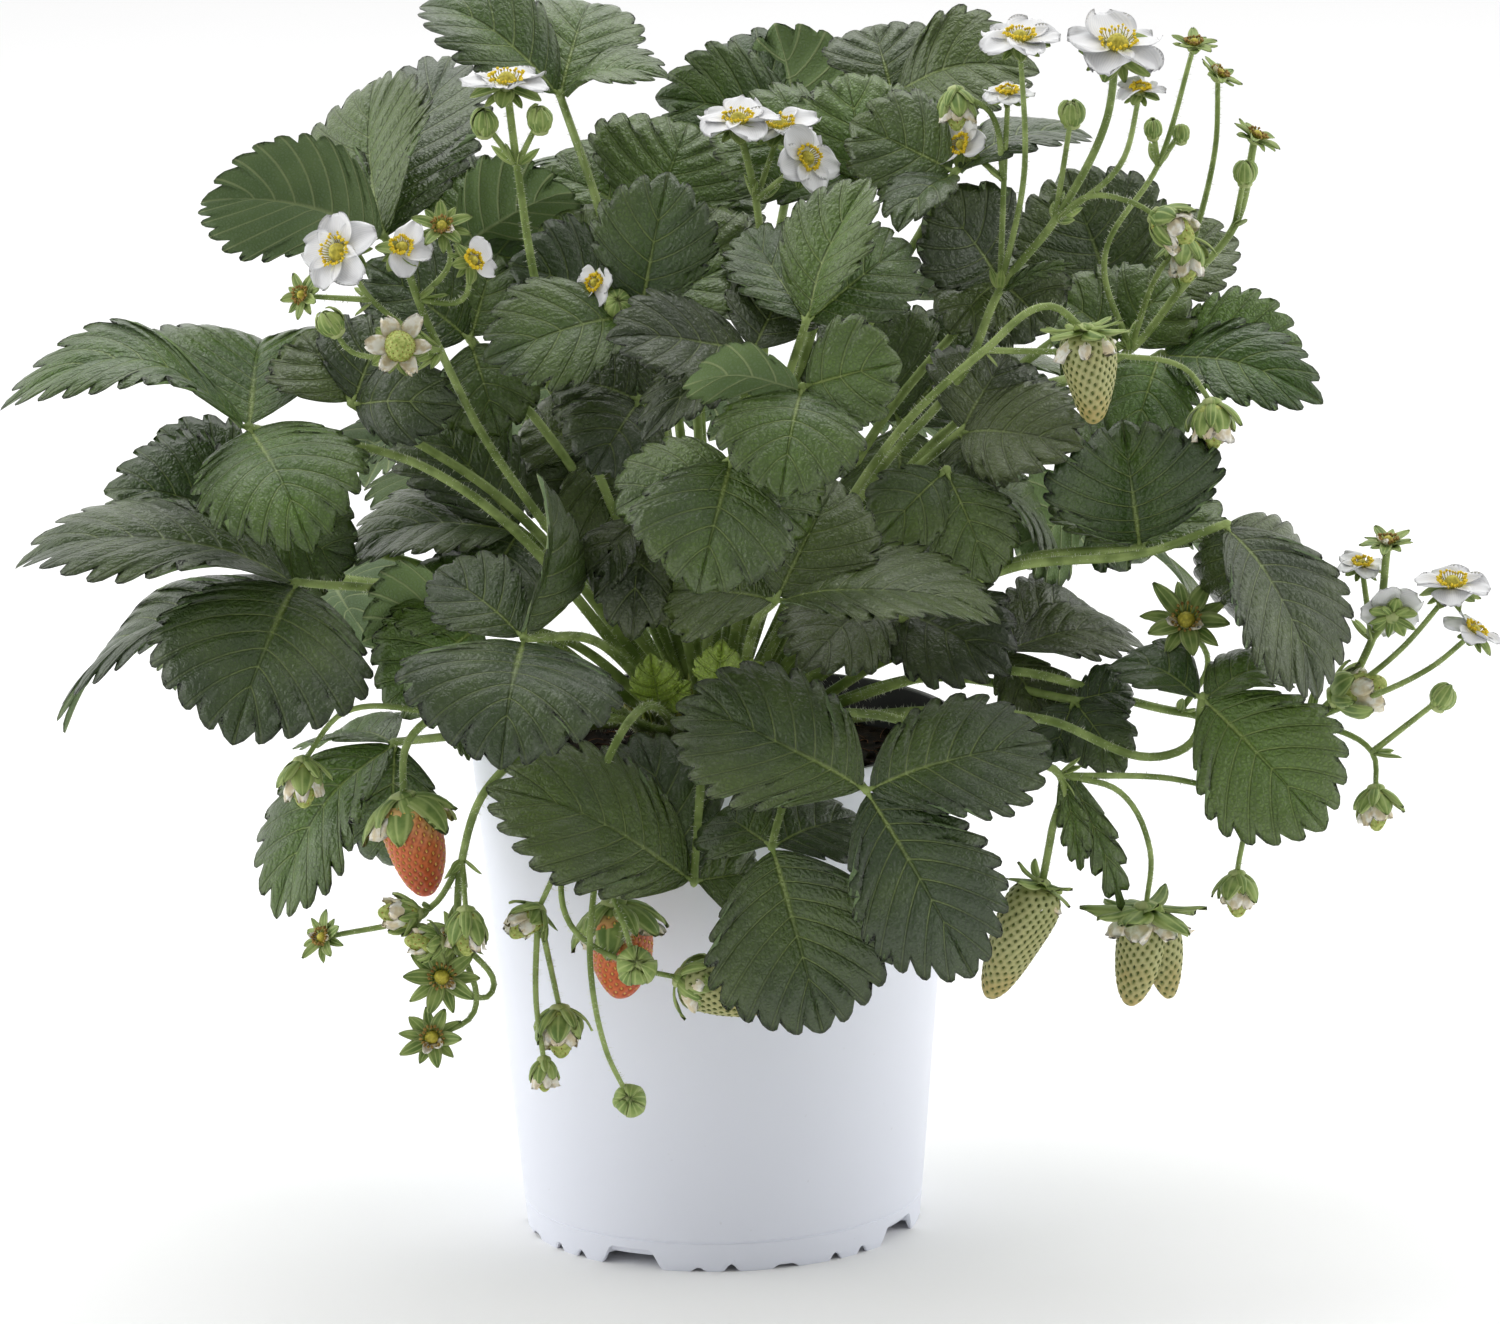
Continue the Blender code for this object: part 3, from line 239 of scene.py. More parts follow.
# %% Trusses, fruits and flowers
# Each stalk is (points, head, width in millimetres, the way the head looks), and its head sits on
# its last point. A star that still has petals is given as their number, and one with withered
# petals round a swollen middle as "swollen". The first stalk comes from the crown, the others from a
# point of an earlier one. A calyx looks along the fruit that it is named with, and holds it.
# Seven trusses end in side stalks that the solids lack: two on truss_left_high, truss_top_left,
# truss_front_left and truss_front, three on truss_right_back and truss_right_far, and four on
# truss_right_high. The solids' stars have no petals. Seven more heads differ from them a little,
# because the photograph shows them up close: the third of truss_left_high, truss_right_low and
# truss_front_left, the first of truss_right_fruit, the fifth of truss_right_far, and the fourth and
# fifth of truss_front.
TRUSSES = {
    "truss_left_high": [
        ([(486, 440, -56), (440, 350, -62), (418, 300, -58), (402, 250, -60)], 3, 18, "front_up"),
        ([(440, 350, -62), (372, 300, -62), (342, 254, -66)], "flower", 26, "flower_left"),
        ([(440, 350, -62), (400, 348, -84)], "swollen", 16, "front"),
        ([(418, 300, -58), (450, 262, -54), (442, 228, -54)], "star", 17, "front_up"),
        ([(372, 300, -62), (304, 296, -58)], "star", 15, "front_left"),
        ([(418, 300, -58), (462, 300, -60), (470, 262, -64)], 2, 16, "front_right"),
        ([(440, 350, -62), (352, 352, -70), (330, 322, -72)], "bud", 9, "up_left")],
    "truss_top_left": [
        ([(540, 300, -24), (517, 165, -28), (507, 88, -32)], "flower", 28, "flower_top_left"),
        ([(517, 165, -28), (484, 122, -34)], "bud", 9, "up"),
        ([(517, 165, -28), (540, 118, -36)], "bud", 9, "up"),
        ([(540, 300, -24), (598, 284, -50)], 4, 15, "front_left"),
        ([(540, 300, -24), (618, 304, -54)], "bud", 10, "front")],
    "truss_top_middle": [
        ([(765, 330, -6), (756, 200, -4), (738, 124, -6)], 5, 24, "up"),
        ([(756, 200, -4), (804, 160, -16)], 5, 22, "front_right"),
        ([(756, 200, -4), (780, 130, 4)], 5, 24, "up")],
    "truss_right_high": [
        ([(880, 470, -60), (965, 370, -44), (1000, 290, -44), (1055, 220, -40), (1105, 125, -38),
          (1117, 50, -40)], "flower", 31, "flower_top_right"),
        ([(1000, 290, -44), (1024, 175, -40), (1020, 42, -42)], 5, 24, "up"),
        ([(1055, 220, -40), (1120, 165, -46), (1140, 93, -48)], 4, 15, "up"),
        ([(1055, 220, -40), (1072, 112, -34)], "bud", 9, "up"),
        ([(1000, 290, -44), (1004, 180, -30), (1008, 96, -28)], 5, 16, "up"),
        ([(1004, 180, -30), (990, 112, -28), (956, 92, -26)], "star", 17, "down"),
        ([(1004, 180, -30), (964, 146, -20)], 4, 17, "front_left"),
        ([(1055, 220, -40), (1090, 196, -44), (1136, 204, -48), (1156, 216, -50)], "star", 20, "down_right")],
    "truss_right_back": [
        ([(960, 420, -34), (1130, 350, 4), (1180, 290, 10), (1235, 225, 12), (1255, 138, 12)],
         "star", 16, "up_right"),
        ([(1130, 350, 4), (1105, 255, -6), (1158, 165, 2), (1194, 46, 4)], "star", 15, "up"),
        ([(1158, 165, 2), (1181, 132, 6)], "bud", 6, "up"),
        ([(1180, 290, 10), (1215, 150, 20), (1218, 76, 18)], "star", 15, "up_right"),
        ([(1130, 350, 4), (1160, 270, -6), (1186, 240, -10)], "star", 19, "down"),
        ([(1158, 165, 2), (1153, 128, 0)], "bud", 6, "up"),
        ([(1235, 225, 12), (1245, 172, 4)], "bud", 8, "up")],
    "truss_right_fruit": [
        ([(900, 430, -80), (985, 350, -86), (1050, 306, -92), (1084, 330, -94)],
         "calyx", 22, "fruit_green_high"),
        ([(985, 350, -86), (1120, 356, -70), (1184, 368, -76), (1212, 404, -80)], "star", 20, "down")],
    "truss_right_far": [
        ([(1000, 670, -70), (1180, 712, -62), (1310, 720, -60), (1372, 640, -64), (1388, 544, -66)],
         "star", 16, "up"),
        ([(1310, 720, -60), (1400, 650, -72), (1452, 590, -78)], "flower", 25, "flower_far_right"),
        ([(1310, 720, -60), (1430, 668, -84), (1472, 634, -86)], 5, 18, "up_right"),
        ([(1310, 720, -60), (1372, 752, -70), (1376, 790, -72)], "star", 18, "down"),
        ([(1310, 720, -60), (1334, 697, -66)], "star", 24, "right"),
        ([(1372, 752, -70), (1444, 696, -84)], "bud", 9, "up_right"),
        ([(1180, 712, -62), (1208, 662, -66), (1186, 622, -70)], "star", 26, "front_up"),
        ([(1372, 640, -64), (1392, 616, -70)], 5, 19, "back"),
        ([(1372, 640, -64), (1362, 568, -60)], 4, 15, "up")],
    "truss_right_low": [
        ([(900, 720, -104), (1000, 760, -109), (1060, 775, -112), (1052, 830, -115), (1042, 884, -113)],
         "calyx", 18, "fruit_green_right"),
        ([(1060, 775, -112), (1120, 792, -110), (1150, 850, -108), (1146, 908, -108)],
         "calyx", 30, "fruit_green_pair"),
        ([(1060, 775, -112), (1190, 782, -104), (1240, 804, -100), (1237, 876, -100)],
         "star", 18, "down")],
    "truss_left_low": [
        ([(560, 700, -92), (443, 712, -90), (408, 742, -90), (403, 798, -90)], "calyx", 28, "fruit_red_left"),
        ([(443, 712, -90), (345, 712, -92), (303, 762, -94)], "star", 20, "down")],
    "truss_front_left": [
        ([(560, 730, -96), (486, 790, -108), (462, 860, -108), (456, 936, -110)], "star", 18, "front_left"),
        ([(462, 860, -108), (430, 908, -110), (324, 938, -114)], "star", 15, "front_left"),
        ([(430, 908, -110), (416, 914, -114)], "star", 17, "left"),
        ([(456, 936, -110), (492, 992, -106), (442, 978, -116)], "star", 22, "front"),
        ([(456, 936, -110), (474, 1012, -112), (432, 1038, -116)], "star", 19, "front"),
        ([(456, 936, -110), (438, 942, -120)], "star", 15, "left"),
        ([(462, 860, -108), (466, 912, -120)], "star", 19, "down")],
    "truss_front": [
        ([(630, 720, -98), (598, 790, -112), (597, 860, -112), (614, 904, -112)],
         "calyx", 28, "fruit_red_front"),
        ([(597, 860, -112), (590, 960, -130), (606, 1050, -126), (630, 1100, -122)], "bud", 11, "front"),
        ([(598, 790, -112), (566, 850, -114), (570, 924, -126), (640, 968, -126), (680, 978, -124)],
         "calyx", 20, "fruit_green_front"),
        ([(566, 850, -114), (538, 910, -108)], "star", 17, "down_left"),
        ([(538, 910, -108), (560, 1010, -108)], "star", 21, "down"),
        ([(538, 910, -108), (536, 1000, -110), (544, 1062, -112)], "star", 13, "down"),
        ([(597, 860, -112), (622, 920, -128), (636, 966, -130)], "bud", 13, "front")],
    "truss_back": [
        ([(700, 640, 60), (660, 640, 104), (640, 700, 124), (636, 760, 128)], "star", 24, "down"),
        ([(660, 640, 104), (700, 690, 122), (706, 730, 126)], "bud", 14, "down"),
        ([(640, 700, 124), (600, 750, 120)], "star", 18, "down")],
}

# Fruits: (tip point, width in millimetres); each hangs from the calyx that names it
FRUITS = {
    "fruit_green_high": ((1094, 424, -96), 18),
    "fruit_red_left": ((428, 896, -92), 21),
    "fruit_red_front": ((622, 998, -110), 23),
    "fruit_green_front": ((763, 1010, -124), 17),
    "fruit_green_right": ((988, 998, -112), 19),
    "fruit_green_pair": ((1146, 1007, -108), 23),
}

# Flowers: the way each looks; each sits on the stalk that names it
FLOWERS = {
    "flower_left": "front_left",
    "flower_top_left": "up",
    "flower_top_right": "front_up",
    "flower_far_right": "up",
}

print("trusses:", len(TRUSSES), "fruits:", len(FRUITS), "flowers:", len(FLOWERS))

# %% [markdown]
# ## How stems leave the crown
# On the real plant some fifty stems crowd each other on a crown no bigger than a walnut. They are
# spread here by a small simulation: each stem starts in the direction of its leaf, and stems that
# are too close push each other aside over the dome until none touches. It is the rule that placed
# the solids of the model, so the fine stems run where the solid ones do.

# %% The crown's dome
MIX_TOP = 155 * MM
CROWN_SIZE = Vector((30, 26, 17)) * MM
# The air between two pieces that touch on the real plant
GAP = 0.4 * MM
# How flat and how steep a stem may leave the crown
LOWEST_ROOT = math.radians(24)
STEEPEST_ROOT = math.radians(78)


def crown_surface(direction):
    """The point of the crown's dome in a direction from its centre, and the normal there."""
    reach = 1 / math.sqrt(sum((direction[i] / CROWN_SIZE[i]) ** 2 for i in range(3)))
    point = direction * reach
    normal = Vector([point[i] / CROWN_SIZE[i] ** 2 for i in range(3)]).normalized()
    return point + Vector((0, 0, MIX_TOP + GAP)), normal


def root_direction(target):
    """The way from the crown towards a target, kept between the lowest and steepest stem."""
    away = target - Vector((0, 0, MIX_TOP))
    turn = math.atan2(away.y, away.x)
    rise = math.atan2(away.z, math.hypot(away.x, away.y))
    rise = min(max(rise, LOWEST_ROOT), STEEPEST_ROOT)
    return Vector((math.cos(turn) * math.cos(rise), math.sin(turn) * math.cos(rise), math.sin(rise)))


print("the crown is", round(2 * CROWN_SIZE.x / MM), "mm wide and", round(CROWN_SIZE.z / MM), "mm high")

# %% Stems that push each other aside
STEM_SPACING = 5.4 * MM
CROWDING_ROUNDS = 120


def keep_on_dome(direction):
    """A direction of length 1 that isn't flatter than the lowest stem."""
    direction = direction.normalized()
    lowest = math.sin(LOWEST_ROOT)
    if direction.z < lowest:
        flat = Vector((direction.x, direction.y, 0)).normalized() * math.cos(LOWEST_ROOT)
        direction = Vector((flat.x, flat.y, lowest))
    return direction


def crowd(directions):
    """Stems that would leave the crown through each other push each other aside on the dome."""
    directions = [d.copy() for d in directions]
    for _ in range(CROWDING_ROUNDS):
        for i, one in enumerate(directions):
            for j in range(i):
                between = crown_surface(one)[0] - crown_surface(directions[j])[0]
                short = STEM_SPACING - between.length
                if short <= 0:
                    continue
                push = between.normalized() * (short / CROWN_SIZE.x / 2)
                directions[i] = keep_on_dome(directions[i] + push)
                directions[j] = keep_on_dome(directions[j] - push)
                one = directions[i]
    return directions


pair = [crown_surface(way)[0] for way in crowd([UP, UP + Vector((0.01, 0, 0))])]
print("two stems that start side by side end", round((pair[0] - pair[1]).length / MM, 1), "mm apart")

# %% A stem's route
# A stem leaves the crown straight, and bows upward by this share of its length where it has no
# other points to pass
STEM_LEAD = 12 * MM
STEM_BOW = 0.1


def stem_points(direction, through, clear=GAP):
    """From the crown, square to its surface, and on through the given places."""
    root, normal = crown_surface(direction)
    start = root + normal * clear
    lead = root + normal * (GAP + STEM_LEAD)
    if len(through) == 1:
        span = through[0] - lead
        through = [lead + span / 2 + UP * (span.length * STEM_BOW)] + through
    return [start, lead] + through


def smooth_route(points, spacing):
    """Points about a spacing apart along a smooth curve through the given ones."""
    spans = [(b - a).normalized() for a, b in zip(points, points[1:])]
    ways = [spans[0]] + [(a + b).normalized() for a, b in zip(spans, spans[1:])] + [spans[-1]]
    route = []
    for i in range(len(points) - 1):
        start, stop = points[i], points[i + 1]
        length = (stop - start).length
        steps = max(2, round(length / spacing))
        for step in range(steps):
            t = step / steps
            route.append(start * (2 * t ** 3 - 3 * t ** 2 + 1) + stop * (3 * t ** 2 - 2 * t ** 3)
                         + ways[i] * length * (t ** 3 - 2 * t ** 2 + t)
                         + ways[i + 1] * length * (t ** 3 - t ** 2))
    return route + [points[-1]]


print("a stem of 60 mm is drawn with", len(smooth_route([Vector(), UP * 60 * MM], 3 * MM)), "points")

# %% Every stem's way out of the crown
# At the back, the side leaflets stand this many degrees from the middle one, and are shorter
SIDE_SPREAD = 72
SIDE_SHARE = 0.88
BLADE_BREADTH = 0.78
BACK_FOLD, BACK_ARCH = 10, 12
OUTWARD_FACE = 0.3


def back_leaf(turn, radius, height, length, hang, youth):
    """Hub, via points, blades and youth of a leaf that is placed by its turn about the pot."""
    angle = math.radians(turn)
    outward = Vector((math.cos(angle), math.sin(angle), 0))
    sideways = Vector((-outward.y, outward.x, 0))
    hub = outward * radius * MM + UP * height * MM
    face = UP + outward * (OUTWARD_FACE + math.sin(math.radians(hang)))
    blades = []
    for spread in (-SIDE_SPREAD, 0, SIDE_SPREAD):
        lean = math.radians(spread)
        along = outward * math.cos(lean) + sideways * math.sin(lean)
        along = (along - UP * math.tan(math.radians(hang))).normalized()
        reach = length * (1 if spread == 0 else SIDE_SHARE)
        blades.append((hub + along * reach * MM, reach * BLADE_BREADTH, face, BACK_FOLD, BACK_ARCH))
    return hub, [], blades, youth


def placed_leaf(plan):
    """Hub, via points, blades and youth of a leaf from the list, in metres."""
    blades = [(spot(tip), width, FACES[face], *(bends or USUAL_BENDS))
              for tip, width, face, *bends in plan.blades]
    return spot(plan.hub), [spot(point) for point in plan.via], blades, plan.youth


leaves = {name: placed_leaf(plan) for name, plan in LEAVES.items()}
for number, row in enumerate(BACK_LEAVES, 1):
    leaves[f"leaf_back_{number}"] = back_leaf(*row)
young_leaves = [placed_leaf(plan) for plan in YOUNG_LEAVES]
firsts = [via[0] if via else hub for hub, via, *_ in leaves.values()]
firsts += [spot(stalks[0][0][0]) for stalks in TRUSSES.values()]
firsts += [hub for hub, *_ in young_leaves]
directions = crowd([root_direction(first) for first in firsts])
leaf_ways = dict(zip(leaves, directions))
truss_ways = dict(zip(TRUSSES, directions[len(leaves):]))
young_ways = directions[len(leaves) + len(TRUSSES):]
print("stems spread over the crown:", len(directions))

# %% [markdown]
# ## Making meshes from grids
# Leaflets, petals, stems, berries and the pot are all grids: rows of points that are covered with
# four-sided faces. Numpy works out a whole grid at once, which is far faster than Blender's
# operators for hundreds of thin pieces. Every point also carries two notes for the materials: its
# place on the leaf (which vein, how far to the margin), and a tone (how young it is, and a random
# share), so one leaf material can serve every leaf.

# %% A shape gathered from grids
class Shape:
    """Gathers grids of points, and builds them as one mesh."""

    def __init__(self):
        self.points, self.plans, self.tones, self.faces, self.finishes = [], [], [], [], []
        self.count = 0

    def add(self, points, plan=(0, 0, 0), tone=(0, 0, 0, 1)):
        """Adds points, and gives their numbers back in the same layout."""
        points = np.asarray(points, float)
        layout = points.shape[:-1]
        numbers = np.arange(self.count, self.count + points.size // 3).reshape(layout)
        self.count += numbers.size
        self.points.append(points.reshape(-1, 3))
        self.plans.append(np.broadcast_to(plan, layout + (3,)).reshape(-1, 3))
        self.tones.append(np.broadcast_to(tone, layout + (4,)).reshape(-1, 4))
        return numbers

    def cover(self, numbers, finish, flip=False, wrap=False):
        """Covers a layout of point numbers with faces. They look along (columns) x (rows)."""
        if wrap:
            numbers = np.concatenate([numbers, numbers[:, :1]], 1)
        corners = [numbers[:-1, :-1], numbers[:-1, 1:], numbers[1:, 1:], numbers[1:, :-1]]
        if flip:
            corners.reverse()
        self.put(np.stack(corners, -1).reshape(-1, 4), finish)

    def add_round(self, rings, finish, plan=(0, 0, 0), tone=(0, 0, 0, 1), flip=False):
        """Adds and covers a round body, whose first and last ring are a single point each."""
        numbers = self.add(rings, plan, tone)
        numbers[0], numbers[-1] = numbers[0, 0], numbers[-1, 0]
        self.cover(numbers, finish, flip, wrap=True)

    def put(self, faces, finish):
        """Adds faces, with one finish for them all or one for each."""
        self.faces.append(faces)
        self.finishes.append(np.full(len(faces), finish))

    def build(self, name, finishes, slot, *nodes):
        """One object on the plant's body, in place of the nodes. Equal corners make triangles."""
        faces, finish = np.concatenate(self.faces), np.concatenate(self.finishes)
        used, faces = np.unique(faces, return_inverse=True)
        faces = faces.reshape(-1, 4)
        equal = (faces == np.roll(faces, -1, 1)).sum(1)
        corners = faces[equal == 0].tolist() + [list(dict.fromkeys(f)) for f in faces[equal == 1].tolist()]
        order = np.concatenate([finish[equal == 0], finish[equal == 1]]).astype(np.int32)
        mesh = bpy.data.meshes.new(name)
        mesh.from_pydata(np.concatenate(self.points)[used].tolist(), [], corners)
        for made in finishes:
            mesh.materials.append(made)
        mesh.polygons.foreach_set("material_index", order)
        mesh.polygons.foreach_set("use_smooth", np.ones(len(order), bool))
        plan = mesh.attributes.new("plan", "FLOAT_VECTOR", "POINT")
        plan.data.foreach_set("vector", np.concatenate(self.plans)[used].astype(np.float32).ravel())
        tone = mesh.attributes.new("tone", "FLOAT_COLOR", "POINT")
        tone.data.foreach_set("color", np.concatenate(self.tones)[used].astype(np.float32).ravel())
        mesh.update()
        piece = bpy.data.objects.new(name, mesh)
        bpy.context.scene.collection.objects.link(piece)
        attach(piece, "root")
        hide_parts(*nodes)
        triangle_counts[name] = 2 * int((equal == 0).sum()) + int((equal == 1).sum())
        return piece


triangle_counts = {}
print("a shape keeps", ", ".join(vars(Shape())))

# %% Tubes and balls
# The outer rings of a ball lie at this share of the way to its ends, which are this thin
BALL_REACH = 0.94
BALL_END = 0.2


def unit(rows):
    """Vectors with their length brought to 1."""
    return rows / np.linalg.norm(rows, axis=-1, keepdims=True)


def run_along(route):
    """How far along a route each of its points lies."""
    return np.concatenate([[0], np.cumsum(np.linalg.norm(np.diff(route, axis=0), axis=1))])


def add_tube(shape, route, radii, finish, sides=8):
    """A closed round tube along a route, with a radius at each point."""
    route = np.array(route, float)
    radii = np.broadcast_to(radii, len(route))
    ways = unit(np.gradient(route, axis=0))
    first = np.cross(ways[0], (0.3, 0.5, 0.81))
    rings = [np.repeat(route[:1], sides, 0)]
    angles = np.arange(sides) * 2 * np.pi / sides
    for place, way, radius in zip(route, ways, radii):
        first = unit(first - way * np.dot(first, way))
        second = np.cross(way, first)
        rings.append(place + radius * (np.outer(np.cos(angles), first) + np.outer(np.sin(angles), second)))
    rings.append(np.repeat(route[-1:], sides, 0))
    run = run_along(route)
    run = np.concatenate([run[:1], run, run[-1:]])
    plan = np.stack([np.repeat(run[:, None], sides, 1), np.tile(angles, (len(run), 1)),
                     np.zeros((len(run), sides))], -1)
    shape.add_round(np.array(rings), finish, plan)


def add_ball(shape, centre, axis, radius, length, finish, sides=8, rows=6):
    """A ball or an egg, turned about an axis."""
    steps = np.linspace(-0.5, 0.5, rows + 1)[1:-1] * BALL_REACH
    radii = radius * np.sqrt(1 - (2 * steps) ** 2)
    steps = np.concatenate([[-0.5], steps, [0.5]])
    radii = np.concatenate([[radii[0] * BALL_END], radii, [radii[-1] * BALL_END]])
    axis = Vector(axis).normalized()
    add_tube(shape, [Vector(centre) + axis * (length * s) for s in steps], radii, finish, sides)


print("a route of steps 1 and 2 runs", run_along([(0, 0, 0), (1, 0, 0), (1, 2, 0)]))

# %% Sheets
# The ruffle of a small leaf, in radians from its middle to its margin and from its foot to its tip
RUFFLE_ACROSS, RUFFLE_ALONG = 7, 5
# A curl below this counts as flat
LEAST_CURL = 1e-3


def add_sheet(shape, grid, thick, plan, tone, over, under, seam=False):
    """A thin closed sheet: a grid, and another below it that meets it all round the rim."""
    top = shape.add(grid, plan, tone)
    normals = np.cross(np.gradient(grid, axis=1), np.gradient(grid, axis=0))
    normals /= np.linalg.norm(normals, axis=-1, keepdims=True) + 1e-12
    normals[-1], normals[0] = normals[-2], normals[1]
    low = shape.add(grid - normals * thick[..., None], plan, tone)
    low[0], low[:, 0], low[:, -1] = top[0], top[:, 0], top[:, -1]
    half = grid.shape[1] // 2
    if seam:
        for numbers in (top, low):
            numbers[-1, 0] = top[-1, -1]
            numbers[-1, 1:half] = numbers[-1, -2:half:-1]
    else:
        low[-1] = top[-1]
    shape.cover(top, over)
    shape.cover(low, under, flip=True)


def add_flap(shape, base, along, face, length, width, outline, finish, curl, cup, thick,
             rows=8, columns=5, ruffle=0.0, phase=0.0):
    """A petal, sepal, bract or stipule: a sheet that bends along its length and cups across."""
    along = Vector(along).normalized()
    side = along.cross(Vector(face)).normalized()
    face = side.cross(along)
    t, c = np.meshgrid(np.linspace(0, 1, rows), np.linspace(-1, 1, columns), indexing="ij")
    bend = curl * t
    if abs(curl) < LEAST_CURL:
        ahead, lift = t, 0 * t
    else:
        ahead, lift = np.sin(bend) / curl, (1 - np.cos(bend)) / curl
    half = width / 2 * outline(t)
    wave = np.sin(RUFFLE_ACROSS * c + RUFFLE_ALONG * t + phase)
    raised = cup * half * c ** 2 + ruffle * t * wave * np.abs(c) ** 1.5
    a, s, f = np.array((along, side, face), float)
    normal = -np.sin(bend)[..., None] * a + np.cos(bend)[..., None] * f
    grid = (np.array(base, float) + length * (ahead[..., None] * a + lift[..., None] * f)
            + (half * c)[..., None] * s + raised[..., None] * normal)
    # It thins towards the margin, and over the last eighth of its length
    depth = thick * (1 - c ** 4) * np.minimum(1, 8 * (1 - t) + 0.1)
    add_sheet(shape, grid, depth, np.stack([t, c, 0 * t], -1), (0, 0, 0, 1), finish, finish)


sample = Shape()
add_flap(sample, UP, UP, UP.orthogonal(), 1, 1, np.ones_like, 0, curl=0, cup=0, thick=0.1)
print("a small leaf has", sum(len(faces) for faces in sample.faces), "faces on its two sides")

# %% Hairs
# Real hairs are half as thick. They are drawn thicker, so that they show as a pale rim.
HAIR_RADIUS = 0.09 * MM
HAIR_LENGTH = 1.6 * MM
HAIRS_PER_MM = 2.5
HAIR_LENGTHS = (0.5, 1.2)
HAIR_LEANS = (-0.2, 0.5)


def add_hairs(shape, roots, ways, lengths, finish):
    """Short hairs, each a thin three-sided spike that stands in the stem."""
    roots, ways = np.array(roots), np.array(ways)
    first = unit(np.cross(ways, (0.31, 0.52, 0.79)))
    second = np.cross(ways, first)
    corners = [roots + HAIR_RADIUS * (math.cos(a) * first + math.sin(a) * second)
               for a in (0, 2 * math.pi / 3, 4 * math.pi / 3)]
    tips = roots + ways * np.asarray(lengths)[:, None]
    n = shape.add(np.stack(corners + [tips], 1))
    for a, b, c in ((0, 1, 3), (1, 2, 3), (2, 0, 3)):
        shape.put(np.stack([n[:, a], n[:, b], n[:, c], n[:, c]], -1), finish)


def hair_along(shape, route, radii, draw, finish, share=1.0):
    """Hairs that stand out all round a stem."""
    route = np.array(route, float)
    run = run_along(route)
    count = int(run[-1] / MM * HAIRS_PER_MM * share)
    if count < 1:
        return
    at = draw.uniform(0, run[-1], count)
    centres = np.stack([np.interp(at, run, route[:, i]) for i in range(3)], 1)
    thick = np.interp(at, run, np.broadcast_to(radii, len(route)))
    tangents = unit(np.stack([np.interp(at, run, np.gradient(route[:, i])) for i in range(3)], 1))
    out = unit(np.cross(tangents, draw.normal(size=(count, 3))))
    ways = unit(out + tangents * draw.uniform(*HAIR_LEANS, (count, 1)))
    add_hairs(shape, centres + out * thick[:, None] * 0.9, ways,
              HAIR_LENGTH * draw.uniform(*HAIR_LENGTHS, count), finish)


print("a stem of 100 mm has", round(100 * HAIRS_PER_MM), "hairs")

# %% [markdown]
# ## Materials
# Each material starts from what the real surface is. Colours are written as sRGB hex values, as
# read off a screen, and one function turns them to the linear values that a shader works with.
# One more function adds a shader node with its settings and links.

# %% Colours
def linear(code):
    """An sRGB hex colour as linear red, green, blue and alpha."""
    shares = [int(code[i:i + 2], 16) / 255 for i in (1, 3, 5)]
    return (*[s / 12.92 if s <= 0.04045 else ((s + 0.055) / 1.055) ** 2.4 for s in shares], 1)


print("white, grey and black are", [round(linear(code)[0], 3) for code in ("#ffffff", "#808080", "#000000")])


# %% Nodes
def feed(tree, node, links):
    """Links a node's sockets to other nodes, each through its first output in use, or to outputs."""
    for key, source in links.items():
        if isinstance(source, bpy.types.Node):
            source = next(output for output in source.outputs if output.enabled)
        tree.links.new(source, node.inputs[key])


# What a node of each kind does here, where its settings don't say otherwise
USUAL = {"Mix": {"data_type": "RGBA"}, "Math": {"operation": "MULTIPLY"},
         "TexVoronoi": {"feature": "DISTANCE_TO_EDGE"}}


def add(tree, kind, settings=None, links=None):
    """Adds a node with its settings, which are properties or sockets' values, and its links."""
    node = tree.nodes.new("ShaderNode" + kind)
    for key, value in {**USUAL.get(kind, {}), **(settings or {})}.items():
        if isinstance(key, int) or key in node.inputs:
            node.inputs[key].default_value = linear(value) if isinstance(value, str) else value
        else:
            setattr(node, key, value)
    feed(tree, node, links or {})
    return node


def new_material(name, **settings):
    """A material, its tree, its shader with uniform values set, and the place that a point has."""
    made = bpy.data.materials.new(name)
    made.use_nodes = True
    shader = made.node_tree.nodes["Principled BSDF"]
    for key, value in settings.items():
        shader.inputs[key.replace("_", " ")].default_value = value
    return made, made.node_tree, shader, add(made.node_tree, "TexCoord").outputs["Object"]


def per_metre(size_mm):
    """The texture scale whose pattern repeats about every so many millimetres."""
    return 1000 / size_mm


print("a pattern of 2 mm has a scale of", per_metre(2))

# %% What the materials share
# Sockets of a map range: the two ends that come in, and the two that they become
LOW, HIGH, TO_LOW, TO_HIGH = 1, 2, 3, 4
EASE = {"interpolation_type": "SMOOTHSTEP"}
FALL = {**EASE, TO_LOW: 1.0, TO_HIGH: 0.0}
# Sockets of a colour mix, whose share is socket 0
FIRST, SECOND = 6, 7


def plan_note(tree):
    """The place on its leaf, petal or berry that each point carries, whole and in three parts."""
    plan = add(tree, "Attribute", {"attribute_name": "plan"}).outputs["Vector"]
    return plan, add(tree, "SeparateXYZ", {}, {0: plan}).outputs


def patches(tree, place, size_mm, first, second, low=0.3, high=0.7):
    """Two colours in soft patches of a size."""
    cloud = add(tree, "TexNoise", {"Scale": per_metre(size_mm), "Detail": 3.0}, {"Vector": place})
    share = add(tree, "MapRange", {**EASE, LOW: low, HIGH: high}, {0: cloud})
    return add(tree, "Mix", {FIRST: first, SECOND: second}, {0: share})


print("a map range has its ends in sockets", LOW, "to", TO_HIGH)

